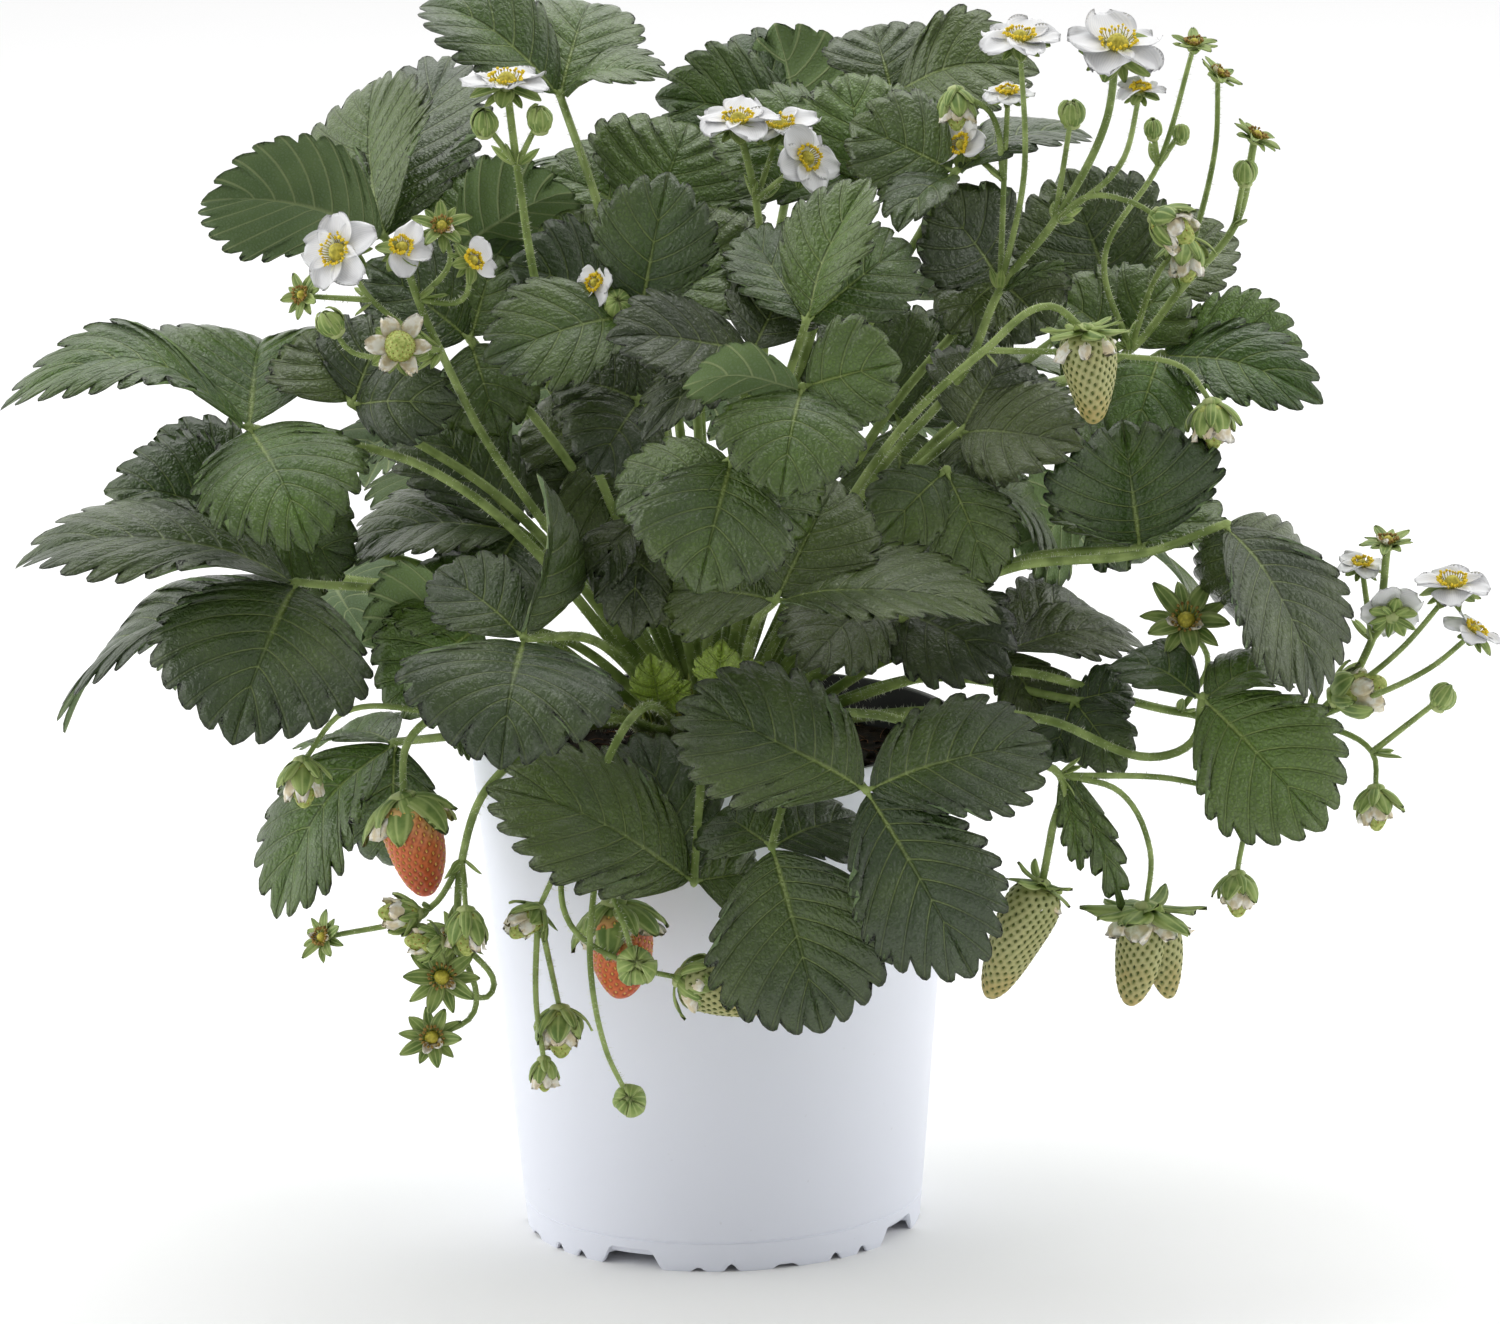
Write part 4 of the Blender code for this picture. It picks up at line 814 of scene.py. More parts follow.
# %% [markdown]
# ## Leaf blades
# A strawberry leaf is a living sheet with a waxed cuticle. Its veins are sunk in the upper side
# and stand out below, and the tissue between them is puckered into cells about a millimetre and a
# half wide. That gives a dark green with a grey sheen on every little ridge. The veins are drawn
# from the notes that each point carries: the first note counts veins, so a point is on a vein
# where it is a whole number. Young leaves are brighter, which the tone gives.

# %% What a point of a leaf blade shows
TOOTH_WIDTH = 8.4 * MM
VEIN_WIDTH = 0.55 * MM
# The puckers of a real leaf are about 2 mm across. They are drawn coarser, so that they show.
PUCKER_SIZE = 3.2 * MM
LEAF_CELL = 1.3
LEAF_PATCH = 26
LEAF_GRAIN = 0.7


def leaf_notes(tree):
    """A point's notes: its count of veins, share across, way out in teeth, youth and chance."""
    tone = add(tree, "Attribute", {"attribute_name": "tone"})
    tones = add(tree, "SeparateColor", {}, {0: tone.outputs["Color"]})
    return *plan_note(tree)[1], tones.outputs[0], tones.outputs[1]


def vein_lines(tree, count, across):
    """How much a point lies on a side vein and on the midrib, and how far out it is."""
    out = add(tree, "Math", {"operation": "ABSOLUTE"}, {0: across})
    off = add(tree, "Math", {"operation": "PINGPONG", 1: 0.5}, {0: count})
    width = VEIN_WIDTH / TOOTH_WIDTH
    side = add(tree, "MapRange", {**FALL, LOW: width * 0.3, HIGH: width * 1.3}, {0: off})
    rib = add(tree, "MapRange", {**FALL, LOW: 0.008, HIGH: 0.045}, {0: out})
    return side, rib, out


def pucker(tree, count, reach):
    """The puckers between two veins, laid out along the veins: 0 at their rims, 1 inside."""
    place = add(tree, "CombineXYZ", {}, {0: count, 1: reach})
    net = add(tree, "TexVoronoi", {"voronoi_dimensions": "2D", "Scale": TOOTH_WIDTH / PUCKER_SIZE},
              {"Vector": place})
    return add(tree, "MapRange", {**EASE, LOW: 0.0, HIGH: 0.45}, {0: net})


def leaf_cells(tree, place):
    """The finest net of veins: 0 in the net, 1 on a cell."""
    net = add(tree, "TexVoronoi", {"Scale": per_metre(LEAF_CELL)}, {"Vector": place})
    return add(tree, "MapRange", {**EASE, LOW: 0.0, HIGH: 0.35}, {0: net})


print("a vein takes", round(VEIN_WIDTH / TOOTH_WIDTH * 100), "percent of the way from vein to vein")

# %% Leaf cuticle, the upper side
OLD_LEAF = ("#2a371c", "#52602a")
FRESH_LEAF = ("#436a12", "#6b942d")
NEWEST_LEAF = "#a3bf45"
OLD_VEIN, FRESH_VEIN = "#7c8c4c", "#a0b858"
# Painted shade for the sunken net of the finest veins
LEAF_NET_SHADE = "#1b2614"


def leaf_upper():
    """A waxed living skin: a soft grey sheen on each ridge, and painted shade in its sunken net of fine
    veins.
    """
    made, tree, shader, place = new_material("leaf_cuticle", IOR=1.5, Coat_Weight=0.32, Coat_Roughness=0.32)
    count, across, reach, youth, chance = leaf_notes(tree)
    side, rib, out = vein_lines(tree, count, across)
    cells = leaf_cells(tree, place)

    # Old leaves are dark, young ones bright, most of all near the midrib, and all are patchy
    cloud = add(tree, "TexNoise", {"Scale": per_metre(LEAF_PATCH), "Detail": 4.0}, {"Vector": place})
    lot = add(tree, "Math", {1: 0.4}, {0: chance})
    lot = add(tree, "Math", {"operation": "MULTIPLY_ADD", 1: 0.75}, {0: cloud, 2: lot})
    patch = add(tree, "MapRange", {**EASE, LOW: 0.3, HIGH: 0.8}, {0: lot})
    old = add(tree, "Mix", {FIRST: OLD_LEAF[0], SECOND: OLD_LEAF[1]}, {0: patch})
    fresh = add(tree, "Mix", {FIRST: FRESH_LEAF[0], SECOND: FRESH_LEAF[1]}, {0: patch})
    inside = add(tree, "MapRange", {TO_LOW: 1.3, TO_HIGH: 0.65}, {0: out})
    age = add(tree, "Math", {"use_clamp": True}, {0: youth, 1: inside})
    blade = add(tree, "Mix", {}, {0: age, FIRST: old, SECOND: fresh})
    newest = add(tree, "MapRange", {LOW: 0.8, HIGH: 1.0}, {0: youth})
    blade = add(tree, "Mix", {SECOND: NEWEST_LEAF}, {0: newest, FIRST: blade})
    # Painted shade: the sunken net between the cells is darkened, as if shadowed
    net = add(tree, "MapRange", {TO_LOW: 0.3, TO_HIGH: 0.0}, {0: cells})
    blade = add(tree, "Mix", {SECOND: LEAF_NET_SHADE}, {0: net, FIRST: blade})

    # Veins are palest where they start, and the midrib is yellow-green at its foot
    vein = add(tree, "Mix", {FIRST: OLD_VEIN, SECOND: FRESH_VEIN}, {0: youth})
    near = add(tree, "MapRange", {**EASE, LOW: 0.05, HIGH: 0.7, TO_LOW: 0.5, TO_HIGH: 0.14}, {0: out})
    near = add(tree, "Math", {}, {0: near, 1: side})
    blade = add(tree, "Mix", {}, {0: near, FIRST: blade, SECOND: vein})
    foot = add(tree, "MapRange", {**EASE, LOW: 0.5, HIGH: 6.0, TO_LOW: 0.95, TO_HIGH: 0.2}, {0: count})
    foot = add(tree, "Math", {}, {0: foot, 1: rib})
    colour = add(tree, "Mix", {}, {0: foot, FIRST: blade, SECOND: vein})

    # Height: quilted between the veins, netted all over, and sunk along the veins
    grain = add(tree, "TexNoise", {"Scale": per_metre(LEAF_GRAIN), "Detail": 2.0}, {"Vector": place})
    groove = add(tree, "Math", {"operation": "MAXIMUM"}, {0: side, 1: rib})
    height = pucker(tree, count, reach)
    for layer, share in ((cells, 0.5), (grain, 0.15), (groove, -2.4)):
        height = add(tree, "Math", {"operation": "MULTIPLY_ADD", 1: share}, {0: layer, 2: height})
    bump = add(tree, "Bump", {"Strength": 1.0, "Distance": 0.32 * MM}, {"Height": height})
    rough = add(tree, "MapRange", {LOW: 0.3, HIGH: 0.7, TO_LOW: 0.28, TO_HIGH: 0.44}, {0: grain})
    feed(tree, shader, {"Base Color": colour, "Normal": bump, "Roughness": rough})
    return made


LEAF_UPPER = leaf_upper()
print("upper side:", LEAF_UPPER.name, len(LEAF_UPPER.node_tree.nodes), "nodes")

# %% Leaf underside
def leaf_under():
    """The downy lower side: pale, dull grey green, with veins that stand out."""
    made, tree, shader, place = new_material("leaf_underside", Roughness=0.7, IOR=1.4)
    count, across, _, youth, _ = leaf_notes(tree)
    side, rib, _ = vein_lines(tree, count, across)
    veins = add(tree, "Math", {"operation": "MAXIMUM"}, {0: side, 1: rib})
    cells = leaf_cells(tree, place)
    blade = patches(tree, place, LEAF_PATCH, "#56684a", "#6b7c57")
    fresh = add(tree, "Math", {1: 0.7}, {0: youth})
    blade = add(tree, "Mix", {SECOND: "#7c9c46"}, {0: fresh, FIRST: blade})
    down = add(tree, "MapRange", {TO_LOW: 0.0, TO_HIGH: 0.25}, {0: cells})
    blade = add(tree, "Mix", {SECOND: "#86977a"}, {0: down, FIRST: blade})
    pale = add(tree, "Math", {1: 0.6}, {0: veins})
    colour = add(tree, "Mix", {SECOND: "#a2ae7c"}, {0: pale, FIRST: blade})
    height = add(tree, "Math", {"operation": "MULTIPLY_ADD", 1: 0.3}, {0: cells, 2: veins})
    bump = add(tree, "Bump", {"Strength": 0.8, "Distance": 0.5 * MM}, {"Height": height})
    feed(tree, shader, {"Base Color": colour, "Normal": bump})
    return made


LEAF_UNDER = leaf_under()
print("lower side:", LEAF_UNDER.name, len(LEAF_UNDER.node_tree.nodes), "nodes")

# %% [markdown]
# ## Stems, hairs, sepals and petals
# A petiole is a juicy green rod, ribbed along its length and covered in soft white hairs, which
# give it a pale outline against the light. Sepals are small leaves, brighter than the blades. A
# petal is a thin white film: its tissue scatters light, so it looks soft and has no hard gloss.

# %% Soft plant tissue
def tissue(name, dark, light, size_mm, roughness, depth_mm=0.15, ior=1.4):
    """Soft plant tissue: two colours in patches of a size, and a fine grain a quarter of that size."""
    made, tree, shader, place = new_material(name, Roughness=roughness, IOR=ior)
    colour = patches(tree, place, size_mm, dark, light, 0.35, 0.65)
    grain = add(tree, "TexNoise", {"Scale": per_metre(size_mm / 4), "Detail": 2.0}, {"Vector": place})
    bump = add(tree, "Bump", {"Strength": 0.5, "Distance": depth_mm * MM}, {"Height": grain})
    feed(tree, shader, {"Base Color": colour, "Normal": bump})
    return made


# Juicy stalks have a satin skin, and their hairs catch the light as a pale rim
STALK_SKIN = tissue("stalk_skin", "#6a7e3c", "#95a862", 9, 0.48)
PLANT_HAIR = tissue("plant_hair", "#d5dcbc", "#eceedf", 5, 0.6)
# Stipules are thin sheaths that dry to straw
STIPULE = tissue("stipule_sheath", "#8a9a44", "#b3b060", 5, 0.6)
# Pollen is a dull yellow powder, and spent anthers are brown crumbs
ANTHER = tissue("anther_pollen", "#d8b51c", "#efd83c", 1.0, 0.8)
DRY_STAMEN = tissue("dry_stamen", "#735724", "#a98c48", 1.0, 0.8)
# The flower's dome is yellow, and turns green as it swells into a fruit
RECEPTACLE = tissue("flower_receptacle", "#a39a34", "#cdc24c", 1.2, 0.6)
YOUNG_FRUIT = tissue("young_fruit_skin", "#8a9a45", "#b7bf6c", 1.2, 0.6)
# Withered petals are crumpled paper, tan at their folds
WITHERED = tissue("withered_petal", "#d9cba9", "#f4f2e8", 3, 0.8)
# The crown is corky bark between old leaf bases
CROWN_BARK = tissue("crown_bark", "#3a2a18", "#6b5a2e", 4, 0.85, depth_mm=0.6)
print("materials so far:", len(bpy.data.materials))

# %% Sepals and petals
SEPAL_PATCH = 6
# A wave texture of this scale gives a petal streaks about 0.7 mm apart
PETAL_STREAKS = 3.0


def sepal_tissue():
    """Small green leaves, with fine veins that run along them and a paler margin."""
    made, tree, shader, place = new_material("sepal_tissue", Roughness=0.55, IOR=1.4)
    across = add(tree, "Math", {"operation": "ABSOLUTE"}, {0: plan_note(tree)[1][1]})
    lines = add(tree, "Math", {"operation": "PINGPONG", 1: 1 / 3}, {0: across})
    blade = patches(tree, place, SEPAL_PATCH, "#617c3a", "#94a85c")
    vein = add(tree, "MapRange", {**FALL, LOW: 0.0, HIGH: 0.16}, {0: lines})
    blade = add(tree, "Mix", {SECOND: "#a4b46e"}, {0: vein, FIRST: blade})
    margin = add(tree, "MapRange", {**EASE, LOW: 0.75, HIGH: 1.0}, {0: across})
    colour = add(tree, "Mix", {SECOND: "#aeba7c"}, {0: margin, FIRST: blade})
    bump = add(tree, "Bump", {"Strength": 1.0, "Distance": 0.3 * MM}, {"Height": lines})
    feed(tree, shader, {"Base Color": colour, "Normal": bump})
    return made


def petal_tissue():
    """A thin white film that lets light in, so it is soft and dull, and green at its claw."""
    made, tree, shader, _ = new_material("petal_tissue", Roughness=0.6, IOR=1.38, Subsurface_Weight=0.15,
                                         Subsurface_Radius=(0.002, 0.002, 0.002))
    plan, parts = plan_note(tree)
    stripes = add(tree, "TexWave", {"bands_direction": "Y", "Scale": PETAL_STREAKS, "Distortion": 2.5},
                  {"Vector": plan})
    streak = add(tree, "MapRange", {TO_HIGH: 0.4}, {0: stripes.outputs["Fac"]})
    white = add(tree, "Mix", {FIRST: "#ececec", SECOND: "#d3d6da"}, {0: streak})
    claw = add(tree, "MapRange", {**FALL, LOW: 0.0, HIGH: 0.22}, {0: parts[0]})
    colour = add(tree, "Mix", {SECOND: "#dfe3a8"}, {0: claw, FIRST: white})
    bump = add(tree, "Bump", {"Strength": 0.25, "Distance": 0.2 * MM}, {"Height": streak})
    feed(tree, shader, {"Base Color": colour, "Normal": bump})
    return made


SEPAL, PETAL = sepal_tissue(), petal_tissue()
print("sepals and petals:", SEPAL.name, PETAL.name)

# %% [markdown]
# ## One leaflet
# A strawberry leaflet is an oval with coarse teeth. A straight vein runs from the midrib to the
# tip of each tooth, and the blade is pushed up between the veins like a quilt. So the grid follows
# the veins: its rows are rays from the midrib to the margin, a whole number of them per tooth, and
# its columns count from one margin over the midrib to the other. Teeth, veins and puckers then all
# come from one count, and always agree. The outline is the one that the solid has.

# %% The margin and its teeth
# The outline of the blade, as on the solid, with a neck that runs out to the petiole
WIDEST_POINT = 1.16
BLADE_FULLNESS = 0.62
NECK = 0.7 * MM
NECK_FALL = 8
MARGIN_SAMPLES = 400
# The share of the margin, from the base, that has no teeth
SMOOTH_MARGIN = 0.27
# Teeth lean to the tip, differ in depth by chance, and grow from the first one on
TOOTH_DEPTH = 0.062
TOOTH_LEAN = 0.3
TOOTH_BLUNTNESS = 0.62
TOOTH_CHANCE = (0.7, 1.3)
FIRST_TOOTH, TOOTH_GROWTH = 0.45, 0.4


def blade_profile(t):
    """Half the width at a share t of the length, as a share of the widest half."""
    return np.maximum(np.sin(np.pi * t ** WIDEST_POINT), 0) ** BLADE_FULLNESS


def margin_line(length, width):
    """Half the width at even shares of the length, and the length of the margin up to there."""
    samples = np.linspace(0, 1, MARGIN_SAMPLES)
    half = width / 2 * blade_profile(samples) + NECK * (1 - samples) ** NECK_FALL
    return samples, half, run_along(np.stack([samples * length, half], 1))


def toothed_edge(line, length, teeth, q, draw):
    """Along and across of the margin for each row, with a notch between each two teeth."""
    samples, half, run = line
    margin = run / run[-1]
    share = np.where(q < 0, SMOOTH_MARGIN * (q + 1), SMOOTH_MARGIN + (1 - SMOOTH_MARGIN) * q / teeth)
    deep = draw.uniform(*TOOTH_CHANCE, teeth + 1)[np.clip(np.floor(q), 0, teeth).astype(int)]
    notch = np.where(q < 0, 0, 1 - np.abs(np.cos(np.pi * q)) ** TOOTH_BLUNTNESS) * deep
    at = share - TOOTH_LEAN * (1 - SMOOTH_MARGIN) / teeth * notch
    edge_t = np.interp(at, margin, samples)
    edge_s = np.interp(edge_t, samples, half)
    slope = np.interp(edge_t, samples, np.gradient(half, samples * length))
    depth = TOOTH_DEPTH * length * notch * np.clip(FIRST_TOOTH + TOOTH_GROWTH * q, FIRST_TOOTH, 1)
    edge_x = edge_t * length + slope / np.hypot(1, slope) * depth
    edge_s = np.maximum(edge_s - depth / np.hypot(1, slope), 0)
    edge_s[-1] = 0
    return edge_x, edge_s, share


outline = margin_line(78 * MM, 58 * MM)
print("a leaflet of 78 by 58 mm has a margin of", round(outline[2][-1] / MM), "mm a side")

# %% Leaflet
FEWEST_TEETH, MOST_TEETH = 4, 8
# Where the rows of a tooth lie, between one tip and the next: the notch is half way, and a row on
# each side of the tip makes it blunt
TOOTH_ROWS = (0.1, 0.3, 0.5, 0.7, 0.9)
BASE_ROWS = 7
HALF_COLUMNS = 8
# Where the side veins leave the midrib, closer to each other near the base, and how they bow
FIRST_VEIN, LAST_VEIN = 0.035, 0.82
VEIN_SHIFT = 1.3
VEIN_BOW = 0.07
# The quilt between the veins, and how steep it is beside them and at its ends
PUCKER = 0.85 * MM
QUILT_SIDE, QUILT_END = 1.1, 0.55
# Bends of the blade, as shares of its length: sides and tip that hang, a margin that waves, and a
# blade that sways as a whole
DROOP, DROOP_STEEPNESS = 0.06, 2.6
TIP_DROOP, TIP_STEEPNESS = 0.8, 5
RUFFLE, RUFFLE_WAVES = 0.024, 1.5
SWAY, SWAY_ALONG, SWAY_ACROSS = 0.022, 5.0, 4.0
MIDRIB_SINK, MIDRIB_WIDTH = 0.45 * MM, 1.0 * MM
BLADE_THICKNESS = 0.4 * MM
RIB_THICKNESS, RIB_WIDTH = 0.9 * MM, 0.7 * MM


def add_leaflet(shape, base, tip, width, face, fold, arch, youth, draw, over=0, under=1,
                rows=TOOTH_ROWS, half=HALF_COLUMNS):
    """A toothed blade from its base to its tip, with the rows of a tooth and the columns a side."""
    along = tip - base
    length = along.length
    along.normalize()
    side = along.cross(face).normalized()
    face = side.cross(along)

    line = margin_line(length, width)
    teeth = round((1 - SMOOTH_MARGIN) * line[2][-1] / TOOTH_WIDTH)
    teeth = min(max(teeth, FEWEST_TEETH), MOST_TEETH)
    inner = (np.arange(teeth)[:, None] + np.array(rows)).ravel()
    q = np.concatenate([np.linspace(-1, 0, BASE_ROWS + 1)[:-1], inner, [teeth]])
    left_x, left_s, share = toothed_edge(line, length, teeth, q, draw)
    right_x, right_s, _ = toothed_edge(line, length, teeth, q, draw)
    rib_t = np.where(q < 0, FIRST_VEIN * (q + 1),
                     FIRST_VEIN + (LAST_VEIN - FIRST_VEIN) * (np.maximum(q, 0) / teeth) ** VEIN_SHIFT)

    c = np.linspace(-1, 1, 2 * half + 1)
    r = np.abs(c)
    edge_x = np.where(c < 0, left_x[:, None], right_x[:, None])
    edge_s = np.where(c < 0, left_s[:, None], right_s[:, None])
    rib_x = (rib_t * length)[:, None]
    reach = np.hypot(edge_x - rib_x, edge_s)
    x = rib_x * (1 - r) + edge_x * r - VEIN_BOW * reach * 4 * r * (1 - r) * (q[:, None] > -0.5)
    x[0] = edge_x[0] * r
    s = edge_s * r * np.sign(c)
    t = np.clip(x / length, 0, 1)
    share = share[:, None]

    phase, wave = draw.uniform(0, 6.28, 5), draw.uniform(0.6, 1.4)
    quilt = PUCKER * np.abs(np.sin(np.pi * q))[:, None] ** QUILT_SIDE * (4 * r * (1 - r)) ** QUILT_END
    ruffle = np.sin(2 * np.pi * RUFFLE_WAVES * share + np.where(c < 0, phase[0], phase[1]))
    sway = (np.sin(SWAY_ALONG * t + phase[2])
            + 0.8 * (2 * s / width) * np.sin(SWAY_ACROSS * t + phase[3]))
    lift = (arch / 100 * length * 4 * t * (1 - t) + np.abs(s) * math.tan(math.radians(fold))
            + quilt * np.minimum(1, 3 * t)
            - DROOP * length * np.abs(2 * s / width) ** DROOP_STEEPNESS * wave
            - DROOP * length * TIP_DROOP * t ** TIP_STEEPNESS
            + RUFFLE * length * ruffle * r ** 3 * np.minimum(1, 4 * share) * (1 - share ** 6)
            + SWAY * length * sway * np.minimum(1, 3 * t)
            - MIDRIB_SINK * np.exp(-(s / MIDRIB_WIDTH) ** 2))
    a, b, f = np.array((along, side, face), float)
    grid = np.array(base, float) + x[..., None] * a + s[..., None] * b + lift[..., None] * f
    grid[-1, :half] = grid[-1, :half:-1]
    thick = BLADE_THICKNESS * (1 - r ** 6) + RIB_THICKNESS * np.exp(-(s / RIB_WIDTH) ** 2) * (1 - t)
    plan = np.stack([q[:, None] + 0 * x, c + 0 * x, reach * c / TOOTH_WIDTH], -1)
    add_sheet(shape, grid, thick, plan, (youth, draw.uniform(), 0, 1), over, under, seam=True)


print("triangles in a leaflet with 6 teeth a side:", (BASE_ROWS + 6 * len(TOOTH_ROWS)) * HALF_COLUMNS * 8)

# %% [markdown]
# ## Whole leaves
# A leaf is one piece: the petiole, the knot at its end, and three leaflets. Where the petiole
# leaves the crown it wears two stipules, thin sheaths that once wrapped the next leaf. Each leaf
# is one mesh in place of its solid, along the same route.

# %% A whole leaf
PETIOLE_FOOT = 1.95 * MM
PETIOLE_TOP = 1.35 * MM
STEM_STEP = 3 * MM
# The short stalk of a leaflet, which the blade overlaps
BLADE_START = 1.5 * MM
PETIOLULE = 3.5 * MM
PETIOLULE_RADII = (1.0 * MM, 0.9 * MM, 0.55 * MM)
KNOT_RADIUS, KNOT_LENGTH = 1.45 * MM, 4.2 * MM
STIPULE_WIDTH = 5.5 * MM
STIPULE_LENGTHS = (13, 19)
LEAF_FINISHES = [LEAF_UPPER, LEAF_UNDER, STALK_SKIN, PLANT_HAIR, STIPULE]
STALK, HAIR, SHEATH, BARK = 2, 3, 4, 5
LEAF_SEED = 100


def sheath_outline(t):
    """Half the width of a stipule at a share of its length."""
    return np.sin(np.pi * (0.12 + 0.86 * t)) ** 0.7


def grow_leaf(shape, leaf, way, draw, clear=GAP, thin=1.0, hairs=1.0, **grid):
    """The petiole with its hairs and stipules, the knot, and the leaflets."""
    hub, via, blades, youth = leaf
    start, *rest = stem_points(way, via + [hub], clear)
    route = [start] + smooth_route(rest, STEM_STEP)
    radii = np.linspace(PETIOLE_FOOT, PETIOLE_TOP, len(route)) * thin
    add_tube(shape, route, radii, STALK)
    hair_along(shape, route, radii, draw, HAIR, hairs)
    add_ball(shape, hub, route[-1] - route[-3], KNOT_RADIUS * thin, KNOT_LENGTH, STALK, rows=8)
    lead = (rest[0] - start).normalized()
    outward = Vector((lead.x, lead.y, 0.1)).normalized()
    for turn in (-1, 1):
        side = lead.cross(outward).normalized() * turn
        add_flap(shape, start + side * 0.4 * MM, lead + side * 0.12, -outward + side * 0.6,
                 draw.uniform(*STIPULE_LENGTHS) * MM, STIPULE_WIDTH, sheath_outline, SHEATH,
                 curl=0.5, cup=0.5, thick=0.3 * MM)
    for tip, width, face, fold, arch in blades:
        along = (tip - hub).normalized()
        base = hub + along * BLADE_START
        add_tube(shape, [hub, base, hub + along * PETIOLULE], PETIOLULE_RADII, STALK, sides=6)
        add_leaflet(shape, base, tip, width * MM, face, fold, arch, youth, draw, **grid)


for number, (name, leaf) in enumerate(leaves.items()):
    shape = Shape()
    grow_leaf(shape, leaf, leaf_ways[name], np.random.default_rng(LEAF_SEED + number))
    shape.build(name + "_fine", LEAF_FINISHES, "leaf", name)
print("leaves:", len(leaves), "triangles:", sum(triangle_counts.values()))

# %% [markdown]
# ## Leaves in the shade
# A strawberry plant has more leaves than the packed model may have pieces. The ones that stand in
# the shade between the others are made here alone. They fill the plant, so that one looks into
# leaves and not through them. They stay within the reach of the leaves that the model has.

# %% Leaves in the shade
INNER_LEAVES = (
    Leaf((1000, 280, -10), [
        ((938, 196, -24), 42, "front", 8, 6), ((1052, 330, -16), 36, "front"),
        ((950, 330, -30), 32, "front_up")], youth=0.1),
    Leaf((866, 184, 12), [
        ((950, 118, 4), 40, "front_up", 10, 8), ((712, 122, 26), 50, "front_up"),
        ((846, 70, 30), 44, "front_up")], youth=0.5),
    Leaf((612, 300, -6), [
        ((510, 262, -20), 44, "front"), ((560, 210, 8), 44, "front_up"),
        ((668, 232, 10), 40, "front_up")], youth=0.25),
    Leaf((352, 404, -50), [
        ((458, 404, -66), 32, "front", 8, 10), ((392, 316, -36), 40, "front_up", 10, 8),
        ((300, 330, -34), 42, "front_up", 10, 8)], youth=0.15),
    Leaf((640, 400, -58), [
        ((592, 472, -82), 38, "front"), ((556, 376, -48), 42, "front_up"),
        ((704, 344, -36), 42, "front_up")], youth=0.1),
    Leaf((960, 432, -58), [
        ((1082, 444, -84), 46, "front_up", 10, 8), ((1010, 352, -30), 44, "front_up"),
        ((990, 500, -70), 30, "front")], youth=0.05),
    Leaf((1092, 486, -14), [
        ((1022, 566, -34), 48, "back"), ((1150, 560, -10), 36, "front"),
        ((1150, 430, 10), 38, "front_up")], youth=0.55),
    Leaf((640, 516, -84), [
        ((632, 640, -98), 28, "front", 14, 6), ((592, 592, -92), 26, "front_left", 12, 8),
        ((716, 612, -92), 48, "front", 8, 6)], youth=0.0),
    Leaf((880, 600, -50), [
        ((1010, 672, -76), 46, "front_up"), ((800, 668, -96), 40, "front_up"),
        ((930, 540, -30), 40, "front_up")], youth=0.05),
    Leaf((484, 622, -58), [
        ((362, 636, -54), 52, "back"), ((402, 576, -44), 40, "front_up"),
        ((384, 706, -66), 44, "front")], youth=0.5),
    Leaf((690, 300, 30), [
        ((596, 246, 40), 50, "front_up"), ((700, 200, 52), 50, "front_up"),
        ((790, 270, 40), 46, "front_up")]),
    Leaf((470, 340, -14), [
        ((366, 262, -14), 46, "front_up"), ((498, 252, 0), 44, "front_up"),
        ((500, 436, -26), 40, "front")], youth=0.3),
    Leaf((590, 446, -4), [
        ((626, 548, -14), 40, "front"), ((548, 534, -10), 36, "front"),
        ((520, 424, 8), 38, "front_up")], youth=0.05),
    Leaf((262, 530, -34), [
        ((104, 486, -30), 52, "front_up", 10, 12), ((160, 424, -14), 42, "front_up", 10, 8),
        ((356, 560, -40), 40, "front")], youth=0.3),
    Leaf((1074, 700, -74), [
        ((1050, 762, -82), 24, "front", 10, 8), ((1124, 772, -86), 24, "front", 12, 10),
        ((1134, 690, -66), 22, "front_up", 10, 8)]),
    Leaf((1120, 346, 22), [
        ((1054, 290, 20), 40, "front_up"), ((1176, 276, 26), 40, "front_up"),
        ((1064, 378, 10), 36, "front")], youth=0.35),
)
# At the back they are placed as the model's leaves are there: (turn, radius, height, length, hang)
INNER_BACK = (
    (48, 74, 306, 60, 8), (92, 66, 270, 64, 20), (116, 96, 312, 58, 10), (68, 104, 262, 62, 22),
    (140, 92, 250, 60, 24), (24, 96, 280, 58, 14),
)
INNER_YOUTH = 0.25
# They are drawn with fewer rows, columns and hairs
INNER_GRID = {"rows": (0.0, 0.25, 0.5, 0.75), "half": 6}
INNER_HAIRS = 0.4
INNER_SEED = 500

inner_leaves = [placed_leaf(plan) for plan in INNER_LEAVES]
inner_leaves += [back_leaf(*row, INNER_YOUTH) for row in INNER_BACK]
for number, leaf in enumerate(inner_leaves, 1):
    shape = Shape()
    draw = np.random.default_rng(INNER_SEED + number)
    grow_leaf(shape, leaf, root_direction(leaf[0]), draw, hairs=INNER_HAIRS, **INNER_GRID)
    shape.build(f"leaf_inner_{number}_fine", LEAF_FINISHES, "leaf")
print("leaves in the shade:", len(inner_leaves), "triangles so far:", sum(triangle_counts.values()))

# %% [markdown]
# ## Crown and young leaves
# The crown is a short woody stem, hidden under old leaf bases. It is a dome, lumpy and brown, and
# the youngest leaves are still folded and bright green. They grow with it in one piece.

# %% Crown
LUMP_HEIGHT = 1.2 * MM
# A lump is about 5.5 mm across
LUMPS_PER_METRE = 180
# The dome's lowest ring of lumps, in radians above its edge
DOME_EDGE = 0.08
DOME_ROWS, DOME_COLUMNS = 10, 36
YOUNG_SEED = 60


